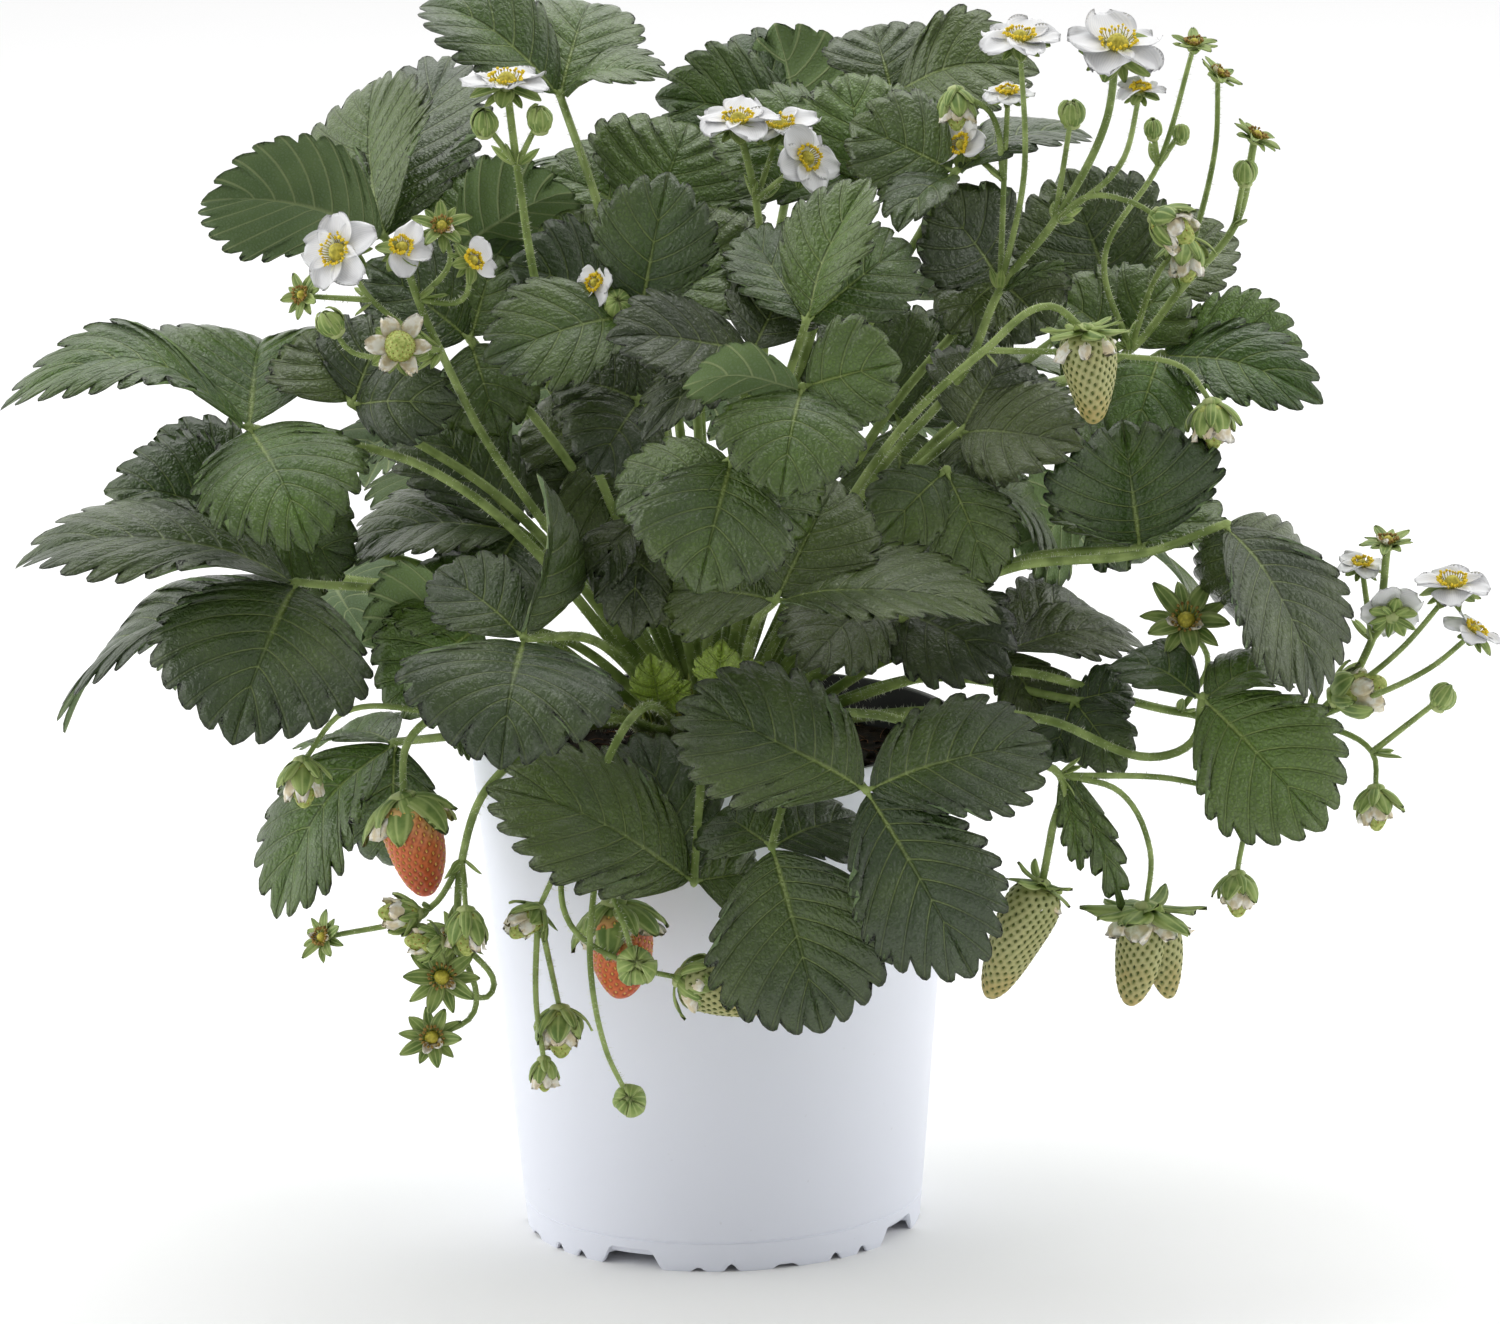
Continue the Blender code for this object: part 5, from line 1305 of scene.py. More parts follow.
def dome_grid(rows, columns):
    """Points of the crown's dome, from its flat underside to its top."""
    rings = [(0, 0), (1, 0)]
    rings += [(math.cos(a), math.sin(a)) for a in np.linspace(DOME_EDGE, np.pi / 2, rows)]
    grid = []
    for radius, height in rings:
        ring = []
        for column in range(columns):
            turn = 2 * np.pi * column / columns
            point = Vector((radius * math.cos(turn), radius * math.sin(turn), height))
            point = Vector([point[i] * CROWN_SIZE[i] for i in range(3)])
            lump = LUMP_HEIGHT * noise.noise(point * LUMPS_PER_METRE) if height > 0 else 0
            point *= 1 + lump / CROWN_SIZE.z
            ring.append(tuple(point + Vector((0, 0, MIX_TOP + GAP / 2))))
        grid.append(ring)
    return np.array(grid)


crown_shape = Shape()
crown_shape.add_round(dome_grid(DOME_ROWS, DOME_COLUMNS), BARK)
for number, (leaf, way) in enumerate(zip(young_leaves, young_ways)):
    draw = np.random.default_rng(YOUNG_SEED + number)
    grow_leaf(crown_shape, leaf, way, draw, clear=-3 * MM, thin=0.8)
crown_shape.build("crown_fine", LEAF_FINISHES + [CROWN_BARK], "crown", "crown")
print("crown:", triangle_counts["crown_fine"], "triangles")

# %% [markdown]
# ## Flowers, stars and buds
# All heads are made from the same pieces: five sepals, five narrower leaves between them, and a
# small dome in the middle. An open flower adds five petals and a ring of stamens. A star is what
# stays when the petals have dropped, and its stamens are dry. A bud is the same calyx, closed.

# %% Outlines of the small leaves
ALL_ROUND = 6.28


def petal_outline(t):
    """Half the width of a petal at a share of its length, as a share of the widest half."""
    return np.sin(np.pi * np.clip(t, 0, 1) ** 0.78 * 0.93 + 0.06) ** 0.55


def sepal_outline(t):
    """The same for a sepal, which is widest nearer to its foot."""
    return np.sin(np.pi * (0.16 + 0.82 * t)) ** 0.75


def ring_ways(axis, count, turn):
    """Directions square to an axis, evenly round it."""
    first = axis.orthogonal().normalized()
    second = axis.cross(first)
    for i in range(count):
        angle = turn + 2 * math.pi * i / count
        yield first * math.cos(angle) + second * math.sin(angle)


def leaning(axis, way, lean):
    """The way of a small leaf that leans away from an axis, and the way that its face looks."""
    return axis * math.cos(lean) + way * math.sin(lean), axis * math.sin(lean) - way * math.cos(lean)


print("half a petal is", petal_outline(np.array((0.1, 0.5, 0.9))).round(2), "wide along its length")

# %% Berry-like bodies
PROFILE_SAMPLES = 600
GOLDEN_ANGLE = math.pi * (3 - math.sqrt(5))
# How far a pit reaches from its seed, as a share of the room that each seed has, and how steeply
PIT_REACH = 0.5
PIT_STEEPNESS = 1.6
SKIN_PER_SEED = 2.2
# A seed is a third as thick as it is long, and is sunk by this share of its pit
SEED_THICKNESS = 0.33
SEED_SINK = 0.6
# Seeds above this share of the length look up, and those below look down
LEVEL_SEED, SEED_TILT = 0.3, 1.4


def berry_profile(s):
    """Radius down a berry, as a share of the widest: as the solid, with a blunter tip."""
    return np.maximum(np.sin(np.pi * np.clip(s, 0, 1) ** 0.544), 0) ** 0.45


def seed_places(count):
    """Shares down and turns round for seeds that fill a berry evenly, in a spiral."""
    s = np.linspace(0, 1, PROFILE_SAMPLES)
    area = np.cumsum(berry_profile(s))
    down = np.interp((np.arange(count) + 0.5) / count, area / area[-1], s)
    return down, np.arange(count) * GOLDEN_ANGLE


def add_berry(shape, top, tip, width, seeds, pit, seed_size, skin, seed_finish, draw,
              rows=48, columns=56, bend=0.0, lumps=0.03):
    """A berry with a seed in the middle of each pit. A negative pit makes a bump."""
    axis = tip - top
    length = axis.length
    axis.normalize()
    first = axis.orthogonal().normalized()
    second = axis.cross(first)
    down, turn = seed_places(seeds)
    s = np.concatenate([[0.0], 0.5 - 0.5 * np.cos(np.linspace(0.03, 1, rows) * np.pi)])
    phi = np.arange(columns) * 2 * np.pi / columns
    phase = draw.uniform(0, ALL_ROUND, 3)

    def surface(s, phi):
        radius = width / 2 * berry_profile(s)
        return radius * (1 + lumps * np.sin(3 * phi + phase[0]) + lumps * np.sin(2 * phi + 5 * s + phase[1]))

    ss, pp = np.meshgrid(s, phi, indexing="ij")
    radius = surface(ss, pp)
    seed_radius = surface(down, turn)
    flat = np.stack([radius * np.cos(pp), radius * np.sin(pp), ss * length], -1)
    seed_at = np.stack([seed_radius * np.cos(turn), seed_radius * np.sin(turn), down * length], -1)
    gaps = np.linalg.norm(flat[:, :, None] - seed_at[None, None], axis=-1).min(-1)
    reach = math.sqrt(width * length * SKIN_PER_SEED / seeds) * PIT_REACH
    sunk = np.exp(-(gaps / reach) ** 2 * PIT_STEEPNESS)
    radius = radius - pit * sunk * np.minimum(1, radius / (0.25 * width))
    sway = bend * np.sin(np.pi * ss) * length
    u, v, w = np.array((first, second, axis), float)
    origin = np.array(top, float)
    grid = (origin + (radius * np.cos(pp) + sway)[..., None] * u + (radius * np.sin(pp))[..., None] * v
            + (ss * length)[..., None] * w)
    shape.add_round(grid, skin, np.stack([ss, pp, sunk], -1), (0, draw.uniform(), 0, 1))
    if seed_size <= 0:
        return
    for share, angle, place in zip(down, turn, seed_at):
        out = first * math.cos(angle) + second * math.sin(angle)
        out = (out + axis * (SEED_TILT * (share - LEVEL_SEED))).normalized()
        at = Vector(origin + (place[0] + bend * math.sin(math.pi * share) * length) * u
                    + place[1] * v + place[2] * w)
        along = (axis - out * axis.dot(out)).normalized()
        add_ball(shape, at - out * max(pit, 0) * SEED_SINK, along, seed_size * SEED_THICKNESS, seed_size,
                 seed_finish, sides=4, rows=2)


print("six seeds lie at", [round(float(share), 2) for share in seed_places(6)[0]], "of a berry's length")

# %% Calyx
FINISHES = [SEPAL, LEAF_UPPER, STALK_SKIN, PLANT_HAIR, RECEPTACLE, ANTHER, DRY_STAMEN, PETAL, WITHERED,
            LEAF_UNDER, YOUNG_FRUIT]
GREEN, BLADE, DOME, POLLEN, DRY, WHITE, WILTED, BLADE_BACK, SWELLING = 0, 1, 4, 5, 6, 7, 8, 9, 10
# How a calyx is shaped: its reach in radii of its head, its angle from the axis and its curl in
# radians, the breadth of its sepals as a share of their length, and how loosely they lie
CALYXES = {
    "bud": (2.9, 1.15, 2.5, 0.54, 0.4),
    "behind a flower": (0.74, 1.74, -0.1, 0.66, 0.4),
    "open over a fruit": (1.2, 1.45, -0.25, 0.62, 1.4),
    "bell round a fruit": (1.4, 1.35, 1.5, 0.62, 1.4),
    "swollen": (1.1, 1.5, 0.0, 0.66, 0.6),
    "behind petals": (0.85, 1.72, 0.0, 0.66, 0.5),
    "swelling": (1.25, 1.2, 1.15, 0.66, 1.4),
    "star": (1.08, 1.15, -0.35, 0.46, 1.0),
}
SEPAL_COUNT = 5
# The narrow leaves between the sepals: breadth and reach as shares, turn, and millimetres below
NARROW_LEAF = (0.36, 0.9, math.pi / SEPAL_COUNT, 0.7)
LEAN_CHANCE, CURL_CHANCE = 0.16, 0.35
LOWER_LEAN = 0.12
SEPAL_FOOT = 0.14
SEPAL_LENGTHS, SEPAL_CUPS = (0.86, 1.08), (0.1, 0.5)
SEPAL_RUFFLE = 0.04


def add_calyx(shape, place, axis, radius, kind, draw):
    """Five broad sepals that overlap, and five narrow leaves below them, at an angle from the axis."""
    size, spread, curl, broad, loose = CALYXES[kind]
    radius = radius * size
    turn = draw.uniform(0, ALL_ROUND)
    for breadth, reach, offset, lower in ((broad, 1.0, 0, 0.0), NARROW_LEAF):
        for way in ring_ways(axis, SEPAL_COUNT, turn + offset):
            lean = spread + loose * draw.uniform(-LEAN_CHANCE, LEAN_CHANCE) + LOWER_LEAN * lower
            add_flap(shape, place - axis * lower * MM + way * SEPAL_FOOT * radius, *leaning(axis, way, lean),
                     radius * reach * draw.uniform(*SEPAL_LENGTHS), radius * breadth, sepal_outline, GREEN,
                     curl=curl + loose * draw.uniform(-CURL_CHANCE, CURL_CHANCE),
                     cup=draw.uniform(*SEPAL_CUPS), thick=0.45 * MM, columns=5 if lower else 7,
                     ruffle=SEPAL_RUFFLE * radius * loose, phase=draw.uniform(0, ALL_ROUND))
    add_ball(shape, place - axis * 0.6 * MM, axis, 0.2 * radius + 0.8 * MM, 3.6 * MM, GREEN, rows=6)


print("a calyx has", 2 * SEPAL_COUNT, "leaves")

# %% Petals and stamens
PETAL_COUNT = 5
PETAL_LEAN = 1.48
PETAL_LENGTHS, PETAL_WIDTHS = (0.9, 1.0), (1.0, 1.12)
# Every second petal of a ring lies this much higher
PETAL_STEP = 0.35
WITHERED_COUNT = 6
FRESH_STAMENS, OLD_STAMENS = 30, 18
DOME_SHARE = 0.22


def add_petals(shape, place, axis, radius, count, draw):
    """Petals in a ring, each a little over its neighbour, cupped and ruffled at the margin."""
    turn = draw.uniform(0, ALL_ROUND)
    for number, way in enumerate(ring_ways(axis, PETAL_COUNT, turn)):
        if number >= count:
            break
        along, face = leaning(axis, way, PETAL_LEAN + draw.uniform(-0.16, 0.16))
        twist = axis.cross(way) * draw.uniform(-0.25, 0.25)
        add_flap(shape, place + way * 0.1 * radius + axis * (PETAL_STEP * (number % 2)) * MM, along,
                 face + twist, radius * draw.uniform(*PETAL_LENGTHS), radius * draw.uniform(*PETAL_WIDTHS),
                 petal_outline, WHITE, curl=draw.uniform(-0.5, 0.15), cup=draw.uniform(0.1, 0.35),
                 thick=0.22 * MM, rows=12, columns=13, ruffle=0.1 * radius, phase=draw.uniform(0, ALL_ROUND))


def add_withered(shape, place, axis, radius, lean, share, draw):
    """Withered petals: crumpled and tan, and only a share of them still held by the calyx."""
    for way in ring_ways(axis, WITHERED_COUNT, draw.uniform(0, ALL_ROUND)):
        if draw.uniform() > share:
            continue
        add_flap(shape, place + way * radius * 0.3, *leaning(axis, way, lean),
                 radius * draw.uniform(0.5, 0.8), radius * draw.uniform(0.4, 0.6), petal_outline, WILTED,
                 curl=draw.uniform(0.2, 1.0), cup=draw.uniform(0.3, 0.8), thick=0.2 * MM,
                 rows=9, columns=9, ruffle=0.13 * radius, phase=draw.uniform(0, ALL_ROUND))


def add_stamens(shape, place, axis, radius, count, finish, draw):
    """Thin filaments round the dome, each with its anther."""
    for way in ring_ways(axis, count, draw.uniform(0, ALL_ROUND)):
        rise = draw.uniform(0.5, 1.3)
        foot = place + way * radius * draw.uniform(0.85, 1.1)
        top = foot + (way * 0.6 + axis * rise).normalized() * radius * draw.uniform(0.8, 1.25)
        middle = (foot + top) / 2 + way * radius * 0.12
        add_tube(shape, [foot, middle, top], 0.18 * MM, DOME, sides=3)
        add_ball(shape, top, way + axis * draw.uniform(-1, 1), 0.55 * MM, 1.5 * MM, finish, sides=4, rows=3)


def add_flower_middle(shape, place, axis, radius, draw, fresh=True):
    """The dome of the flower, covered in tiny pistils, and the stamens round it."""
    dome = radius * DOME_SHARE
    add_berry(shape, place - axis * 0.5 * MM, place + axis * dome * 1.25, dome * 2, seeds=46, pit=-0.35 * MM,
              seed_size=0, skin=DOME, seed_finish=DOME, draw=draw, rows=12, columns=22)
    count, finish = (FRESH_STAMENS, POLLEN) if fresh else (OLD_STAMENS, DRY)
    add_stamens(shape, place, axis, dome * 1.1, count, finish, draw)


def add_bud(shape, place, axis, radius, draw):
    """A closed bud: an egg whose sepals lie close round it and meet above."""
    foot = place - axis * radius
    add_berry(shape, foot, foot + axis * radius * 2.0, radius * 1.9, seeds=20, pit=0, seed_size=0,
              skin=GREEN, seed_finish=GREEN, draw=draw, rows=12, columns=16)
    add_calyx(shape, foot, axis, radius, "bud", draw)


print("a flower has", PETAL_COUNT, "petals and", FRESH_STAMENS, "stamens")

# %% [markdown]
# ## Trusses
# A truss forks like a small tree, with a little leaf at each fork. Its routes and forks are those
# of the solid, and each end carries its head. Fruits hang by their own weight, so their calyx
# looks down along them.

# %% What a stalk carries
# A star that looks one of these ways is older: its middle has swollen into a small green fruit
SWELLING_LOOKS = ("down", "down_left", "down_right", "left", "right")
# Calyxes that stand open over their fruit, while the others hang round it like a bell
OPEN_CALYXES = ("fruit_green_high", "fruit_green_right", "fruit_green_pair")
STALK_FOOT, STALK_TOP = 1.7 * MM, 1.25 * MM
PEDICEL_FOOT, PEDICEL_TOP = 1.1 * MM, 0.85 * MM
BRACT_LENGTHS = (6, 11)
BRACT_WIDTH = 3.4 * MM
BUD_SHARE = 0.82


def head_axis(look, place):
    """The way a head looks: a named one, its flower's, or along its fruit."""
    if look in FRUITS:
        return (spot(FRUITS[look][0]) - place).normalized()
    return FACES[FLOWERS.get(look, look)].normalized()


def bract_outline(t):
    """Half the width of a bract at a share of its length."""
    return np.clip(np.sin(np.pi * (0.1 + 0.88 * t)) ** 0.9, 0.03, 1)


def add_head(shape, place, head, width, look, draw):
    """What a stalk carries: a bud, the green back of a flower, a fruit's calyx, or a star."""
    axis = head_axis(look, place)
    radius = width / 2 * MM
    if head == "bud":
        add_bud(shape, place, axis, radius * BUD_SHARE, draw)
    elif head == "flower":
        add_calyx(shape, place, axis, radius, "behind a flower", draw)
    elif head == "calyx":
        kind = "open over a fruit" if look in OPEN_CALYXES else "bell round a fruit"
        add_calyx(shape, place, axis, radius, kind, draw)
        add_withered(shape, place + axis * 1.2 * MM, axis, radius * 1.3, lean=1.1, share=0.9, draw=draw)
    elif head == "swollen":
        add_calyx(shape, place, axis, radius, "swollen", draw)
        add_withered(shape, place + axis * MM, axis, radius * 1.5, lean=1.35, share=1.0, draw=draw)
        add_berry(shape, place, place + axis * radius, radius * 1.3, seeds=90, pit=0.25 * MM,
                  seed_size=0.8 * MM, skin=SWELLING, seed_finish=DRY, draw=draw, rows=18, columns=26)
    elif head != "star":
        add_calyx(shape, place, axis, radius, "behind petals", draw)
        add_petals(shape, place + axis * MM, axis, radius * 1.08, head, draw)
        add_flower_middle(shape, place + axis * MM, axis, radius, draw)
    elif look in SWELLING_LOOKS:
        add_calyx(shape, place, axis, radius, "swelling", draw)
        middle = place + axis * 0.35 * radius
        add_withered(shape, middle, axis, radius * 1.35, lean=0.55, share=0.9, draw=draw)
        add_berry(shape, place, place + axis * radius * 1.5, radius * 1.05, seeds=60, pit=0.3 * MM,
                  seed_size=0.9 * MM, skin=SWELLING, seed_finish=DRY, draw=draw, rows=20, columns=24)
    else:
        add_calyx(shape, place, axis, radius, "star", draw)
        add_flower_middle(shape, place + axis * 0.8 * MM, axis, radius * 0.95, draw, fresh=False)
        add_withered(shape, place + axis * 0.6 * MM, axis, radius * 0.7, lean=1.1, share=0.25, draw=draw)


print("a stalk is", round(2 * STALK_FOOT / MM, 1), "mm thick at its foot")

# %% Trusses
# Leafy bracts, single leaflets that the solids don't have either: (foot, tip, width in millimetres)
LEAFY_BRACTS = {
    "truss_right_low": (((1062, 776, -112), (1082, 872, -116), 11),
                        ((1072, 777, -112), (1124, 912, -114), 13)),
    "truss_left_low": (((446, 714, -90), (470, 760, -96), 7),),
    "truss_right_high": (((1000, 290, -44), (1076, 262, -50), 7),),
}
BRACT_YOUTH = 0.35
STALK_HAIRS = 1.3
TRUSS_SEED = 200


def grow_truss(name, stalks, way, draw):
    """One truss: its stalks with hairs, heads, and two bracts at each fork, and its leafy bracts."""
    shape = Shape()
    for number, (points, head, width, look) in enumerate(stalks):
        places = [spot(point) for point in points]
        if number == 0:
            start, *rest = stem_points(way, places)
            route = [start] + smooth_route(rest, STEM_STEP)
            radii = np.linspace(STALK_FOOT, STALK_TOP, len(route))
        else:
            route = smooth_route(places, STEM_STEP)
            radii = np.linspace(PEDICEL_FOOT, PEDICEL_TOP, len(route))
            along = (places[1] - places[0]).normalized()
            for turn in (0, 2.2):
                out = next(ring_ways(along, 1, draw.uniform(0, 6) + turn))
                add_flap(shape, places[0] + out * 0.6 * MM, along + out * 0.6, out - along * 0.6,
                         draw.uniform(*BRACT_LENGTHS) * MM, BRACT_WIDTH, bract_outline, GREEN,
                         curl=0.4, cup=0.4, thick=0.3 * MM)
        add_tube(shape, route, radii, STALK)
        hair_along(shape, route, radii, draw, HAIR, STALK_HAIRS)
        add_head(shape, places[-1], head, width, look, draw)
    for foot, tip, width in LEAFY_BRACTS.get(name, ()):
        add_leaflet(shape, spot(foot), spot(tip), width * MM, FACES["front_up"], fold=14, arch=8,
                    youth=BRACT_YOUTH, draw=draw, over=BLADE, under=BLADE_BACK, **INNER_GRID)
    shape.build(name + "_fine", FINISHES, "stalk", name)


for number, (name, stalks) in enumerate(TRUSSES.items()):
    grow_truss(name, stalks, truss_ways[name], np.random.default_rng(TRUSS_SEED + number))
print("trusses:", len(TRUSSES), "triangles so far:", sum(triangle_counts.values()))

# %% [markdown]
# ## Open flowers
# The four largest flowers are solids of their own in the model, so their petals are pieces of
# their own here too.

# %% Flowers
# The flower at the top right looks up more than its stalk does, and droops towards the front
BOWED = {"flower_top_right": Vector((0.05, -0.5, 1))}
FLOWER_SEED = 300


def grow_flower(name, place, axis, width, draw):
    """Five petals and the middle of a flower, just over its calyx."""
    shape = Shape()
    radius = width / 2 * MM
    add_petals(shape, place + axis * 1.6 * MM, axis, radius, PETAL_COUNT, draw)
    add_flower_middle(shape, place + axis * 1.8 * MM, axis, radius, draw)
    shape.build(name + "_fine", FINISHES, "petal", name)


flower_places = {}
for stalks in TRUSSES.values():
    for points, _, width, look in stalks:
        if look in FLOWERS:
            flower_places[look] = (spot(points[-1]), width)
for number, (name, (place, width)) in enumerate(flower_places.items()):
    axis = BOWED[name].normalized() if name in BOWED else head_axis(name, place)
    grow_flower(name, place, axis, width, np.random.default_rng(FLOWER_SEED + number))
print("flowers:", len(flower_places))

# %% [markdown]
# ## Fruits
# A strawberry is a swollen flower base, and the true fruits are the dry achenes in its skin. They
# lie in a spiral, like the seeds of a sunflower, each in a pit. Ripe skin is waxy and shiny, and
# stays pale under the calyx. Unripe skin is duller and green, with closer pits.

# %% Fruit materials
SKIN_PATCH = 8
SKIN_GRAIN = 0.5


def fruit_skin(name, shoulder, body, tip, pit, pit_shade_share, roughness):
    """Waxy skin: a colour at the calyx, one along the body, one at the tip, and a darker one painted as shade
    in the pits.
    """
    made, tree, shader, place = new_material(name, Roughness=roughness, IOR=1.42, Subsurface_Weight=0.1,
                                             Subsurface_Radius=(0.003, 0.0015, 0.001))
    _, parts = plan_note(tree)
    cloud = add(tree, "TexNoise", {"Scale": per_metre(SKIN_PATCH), "Detail": 4.0}, {"Vector": place})
    down = add(tree, "Math", {"operation": "MULTIPLY_ADD", 1: 0.9}, {0: cloud, 2: parts[0]})
    high = add(tree, "MapRange", {**EASE, LOW: 0.45, HIGH: 0.85}, {0: down})
    colour = add(tree, "Mix", {FIRST: shoulder, SECOND: body}, {0: high})
    low = add(tree, "MapRange", {**EASE, LOW: 0.95, HIGH: 1.5}, {0: down})
    colour = add(tree, "Mix", {SECOND: tip}, {0: low, FIRST: colour})
    # Painted shade: the sunk pits take the darker pit colour
    sunk = add(tree, "MapRange", {**EASE, LOW: 0.1, HIGH: 0.7, TO_HIGH: pit_shade_share}, {0: parts[2]})
    colour = add(tree, "Mix", {SECOND: pit}, {0: sunk, FIRST: colour})
    grain = add(tree, "TexNoise", {"Scale": per_metre(SKIN_GRAIN), "Detail": 2.0}, {"Vector": place})
    bump = add(tree, "Bump", {"Strength": 0.3, "Distance": 0.1 * MM}, {"Height": grain})
    feed(tree, shader, {"Base Color": colour, "Normal": bump})
    return made


# The fourth colour of each skin is painted shade in its pits
RIPE_SKIN = fruit_skin("ripe_strawberry_skin", "#d2b274", "#d4713e", "#c05226", "#93391b", 0.8, 0.34)
UNRIPE_SKIN = fruit_skin("unripe_strawberry_skin", "#a9ad77", "#b1b07a", "#b5a265", "#6c7636", 0.65, 0.5)
RIPE_ACHENE = tissue("ripe_achene", "#d2a043", "#ecc766", 1, 0.4, ior=1.45)
UNRIPE_ACHENE = tissue("unripe_achene", "#3d4a16", "#66702a", 1, 0.5, ior=1.45)
print("fruit skins:", RIPE_SKIN.name, UNRIPE_SKIN.name)

# %% Fruits
SEED_SIZE = 1.5 * MM
RIPE_SPACING, UNRIPE_SPACING = 2.6 * MM, 2.5 * MM
# A berry's skin is about this many times its width by its length
FRUIT_AREA = 0.8 * math.pi
PIT_DEPTH = 0.75 * MM
FRUIT_BEND = 0.05
FRUIT_SEED = 400
# Two fruits that have grown together: (tip point, share of the pair's width)
TWINS = {"fruit_green_pair": (((1130, 1006, -112), 0.74), ((1170, 998, -104), 0.66))}


def grow_fruit(name, place, tips, draw):
    """A fruit, or two grown together, each from the calyx to its tip at its width."""
    shape = Shape()
    ripe = "red" in name
    for tip, width in tips:
        way = tip - place
        seeds = round(FRUIT_AREA * width * way.length / (RIPE_SPACING if ripe else UNRIPE_SPACING) ** 2)
        add_berry(shape, place + way.normalized() * MM, tip, width, seeds, PIT_DEPTH, SEED_SIZE, skin=0,
                  seed_finish=1, draw=draw, rows=56, columns=72, bend=draw.uniform(-FRUIT_BEND, FRUIT_BEND),
                  lumps=0.05)
    finishes = [RIPE_SKIN, RIPE_ACHENE] if ripe else [UNRIPE_SKIN, UNRIPE_ACHENE]
    shape.build(name + "_fine", finishes, "ripe_fruit" if ripe else "green_fruit", name)


fruit_places = {}
for stalks in TRUSSES.values():
    for points, _, _, look in stalks:
        if look in FRUITS:
            fruit_places[look] = spot(points[-1])
for number, (name, place) in enumerate(fruit_places.items()):
    tip, thickness = FRUITS[name]
    tips = [(spot(end), thickness * share * MM) for end, share in TWINS.get(name, ((tip, 1.0),))]
    grow_fruit(name, place, tips, np.random.default_rng(FRUIT_SEED + number))
print("fruits:", len(fruit_places), "triangles so far:", sum(triangle_counts.values()))

# %% [markdown]
# ## Pot
# A trade pot is injection moulded from polypropylene in two colours: white outside, to keep roots
# cool, and black inside, to keep light out. The skin is smooth and slightly satin. The wall is a
# turned grid whose lowest edge rises at each drain notch, so every notch has true thickness.

# %% The pot's skirt
POT_HEIGHT = 170 * MM
RIM_RADIUS = 82.5 * MM
FOOT_RADIUS = 66 * MM
POT_WALL = 1.5 * MM
RIM_LIP = 1.1 * MM
BASE_UNDERSIDE = 3 * MM
POT_SLOPE = (RIM_RADIUS - RIM_LIP - FOOT_RADIUS) / POT_HEIGHT
DRAIN_ANGLE = -28
# Notches of the skirt in one quarter: (turn from the drain in degrees, half width at the foot and
# at the top in degrees, height in millimetres)
NOTCHES = (
    (0, 9.6, 6.6, 6.5), (20.5, 1.9, 1.0, 1.3), (30, 2.2, 0.5, 2.6), (46, 3.6, 2.6, 1.3),
    (62, 2.0, 0.5, 2.6), (72, 2.0, 0.5, 2.6),
)


def outside(z):
    """The outer radius of the wall at a height."""
    return FOOT_RADIUS + POT_SLOPE * z


def lower_edge(turn):
    """Height of the skirt's lower edge at a turn in degrees, measured from the front to the right."""
    height = 0.0
    for quarter in range(4):
        for at, foot, top, rise in NOTCHES:
            off = abs((turn - DRAIN_ANGLE - 90 * quarter - at + 180) % 360 - 180)
            height = max(height, rise * MM * np.clip((foot - off) / (foot - top), 0, 1))
    return height


print("drain notches are", round(lower_edge(DRAIN_ANGLE) * 1000, 1), "mm high")

# %% The pot's shape
POT_COLUMNS = 360
GROOVE_HEIGHT = 10 * MM
GROOVE_DEPTH = 0.35 * MM
GROOVE_CLEAR = 1.2 * MM
# The bead of the rim, all in millimetres: (inwards from its edge, down from the brim, 1 if black)
RIM_BEAD = ((0.5, 0, 1), (0.1, 0.2, 0), (0, 0.7, 0), (0, 3.4, 0), (0.3, 3.9, 0))
BORE_RINGS, WALL_RINGS = 4, 10
FOOT_ROUND = 0.3 * MM
BASE_RIM = 6 * MM


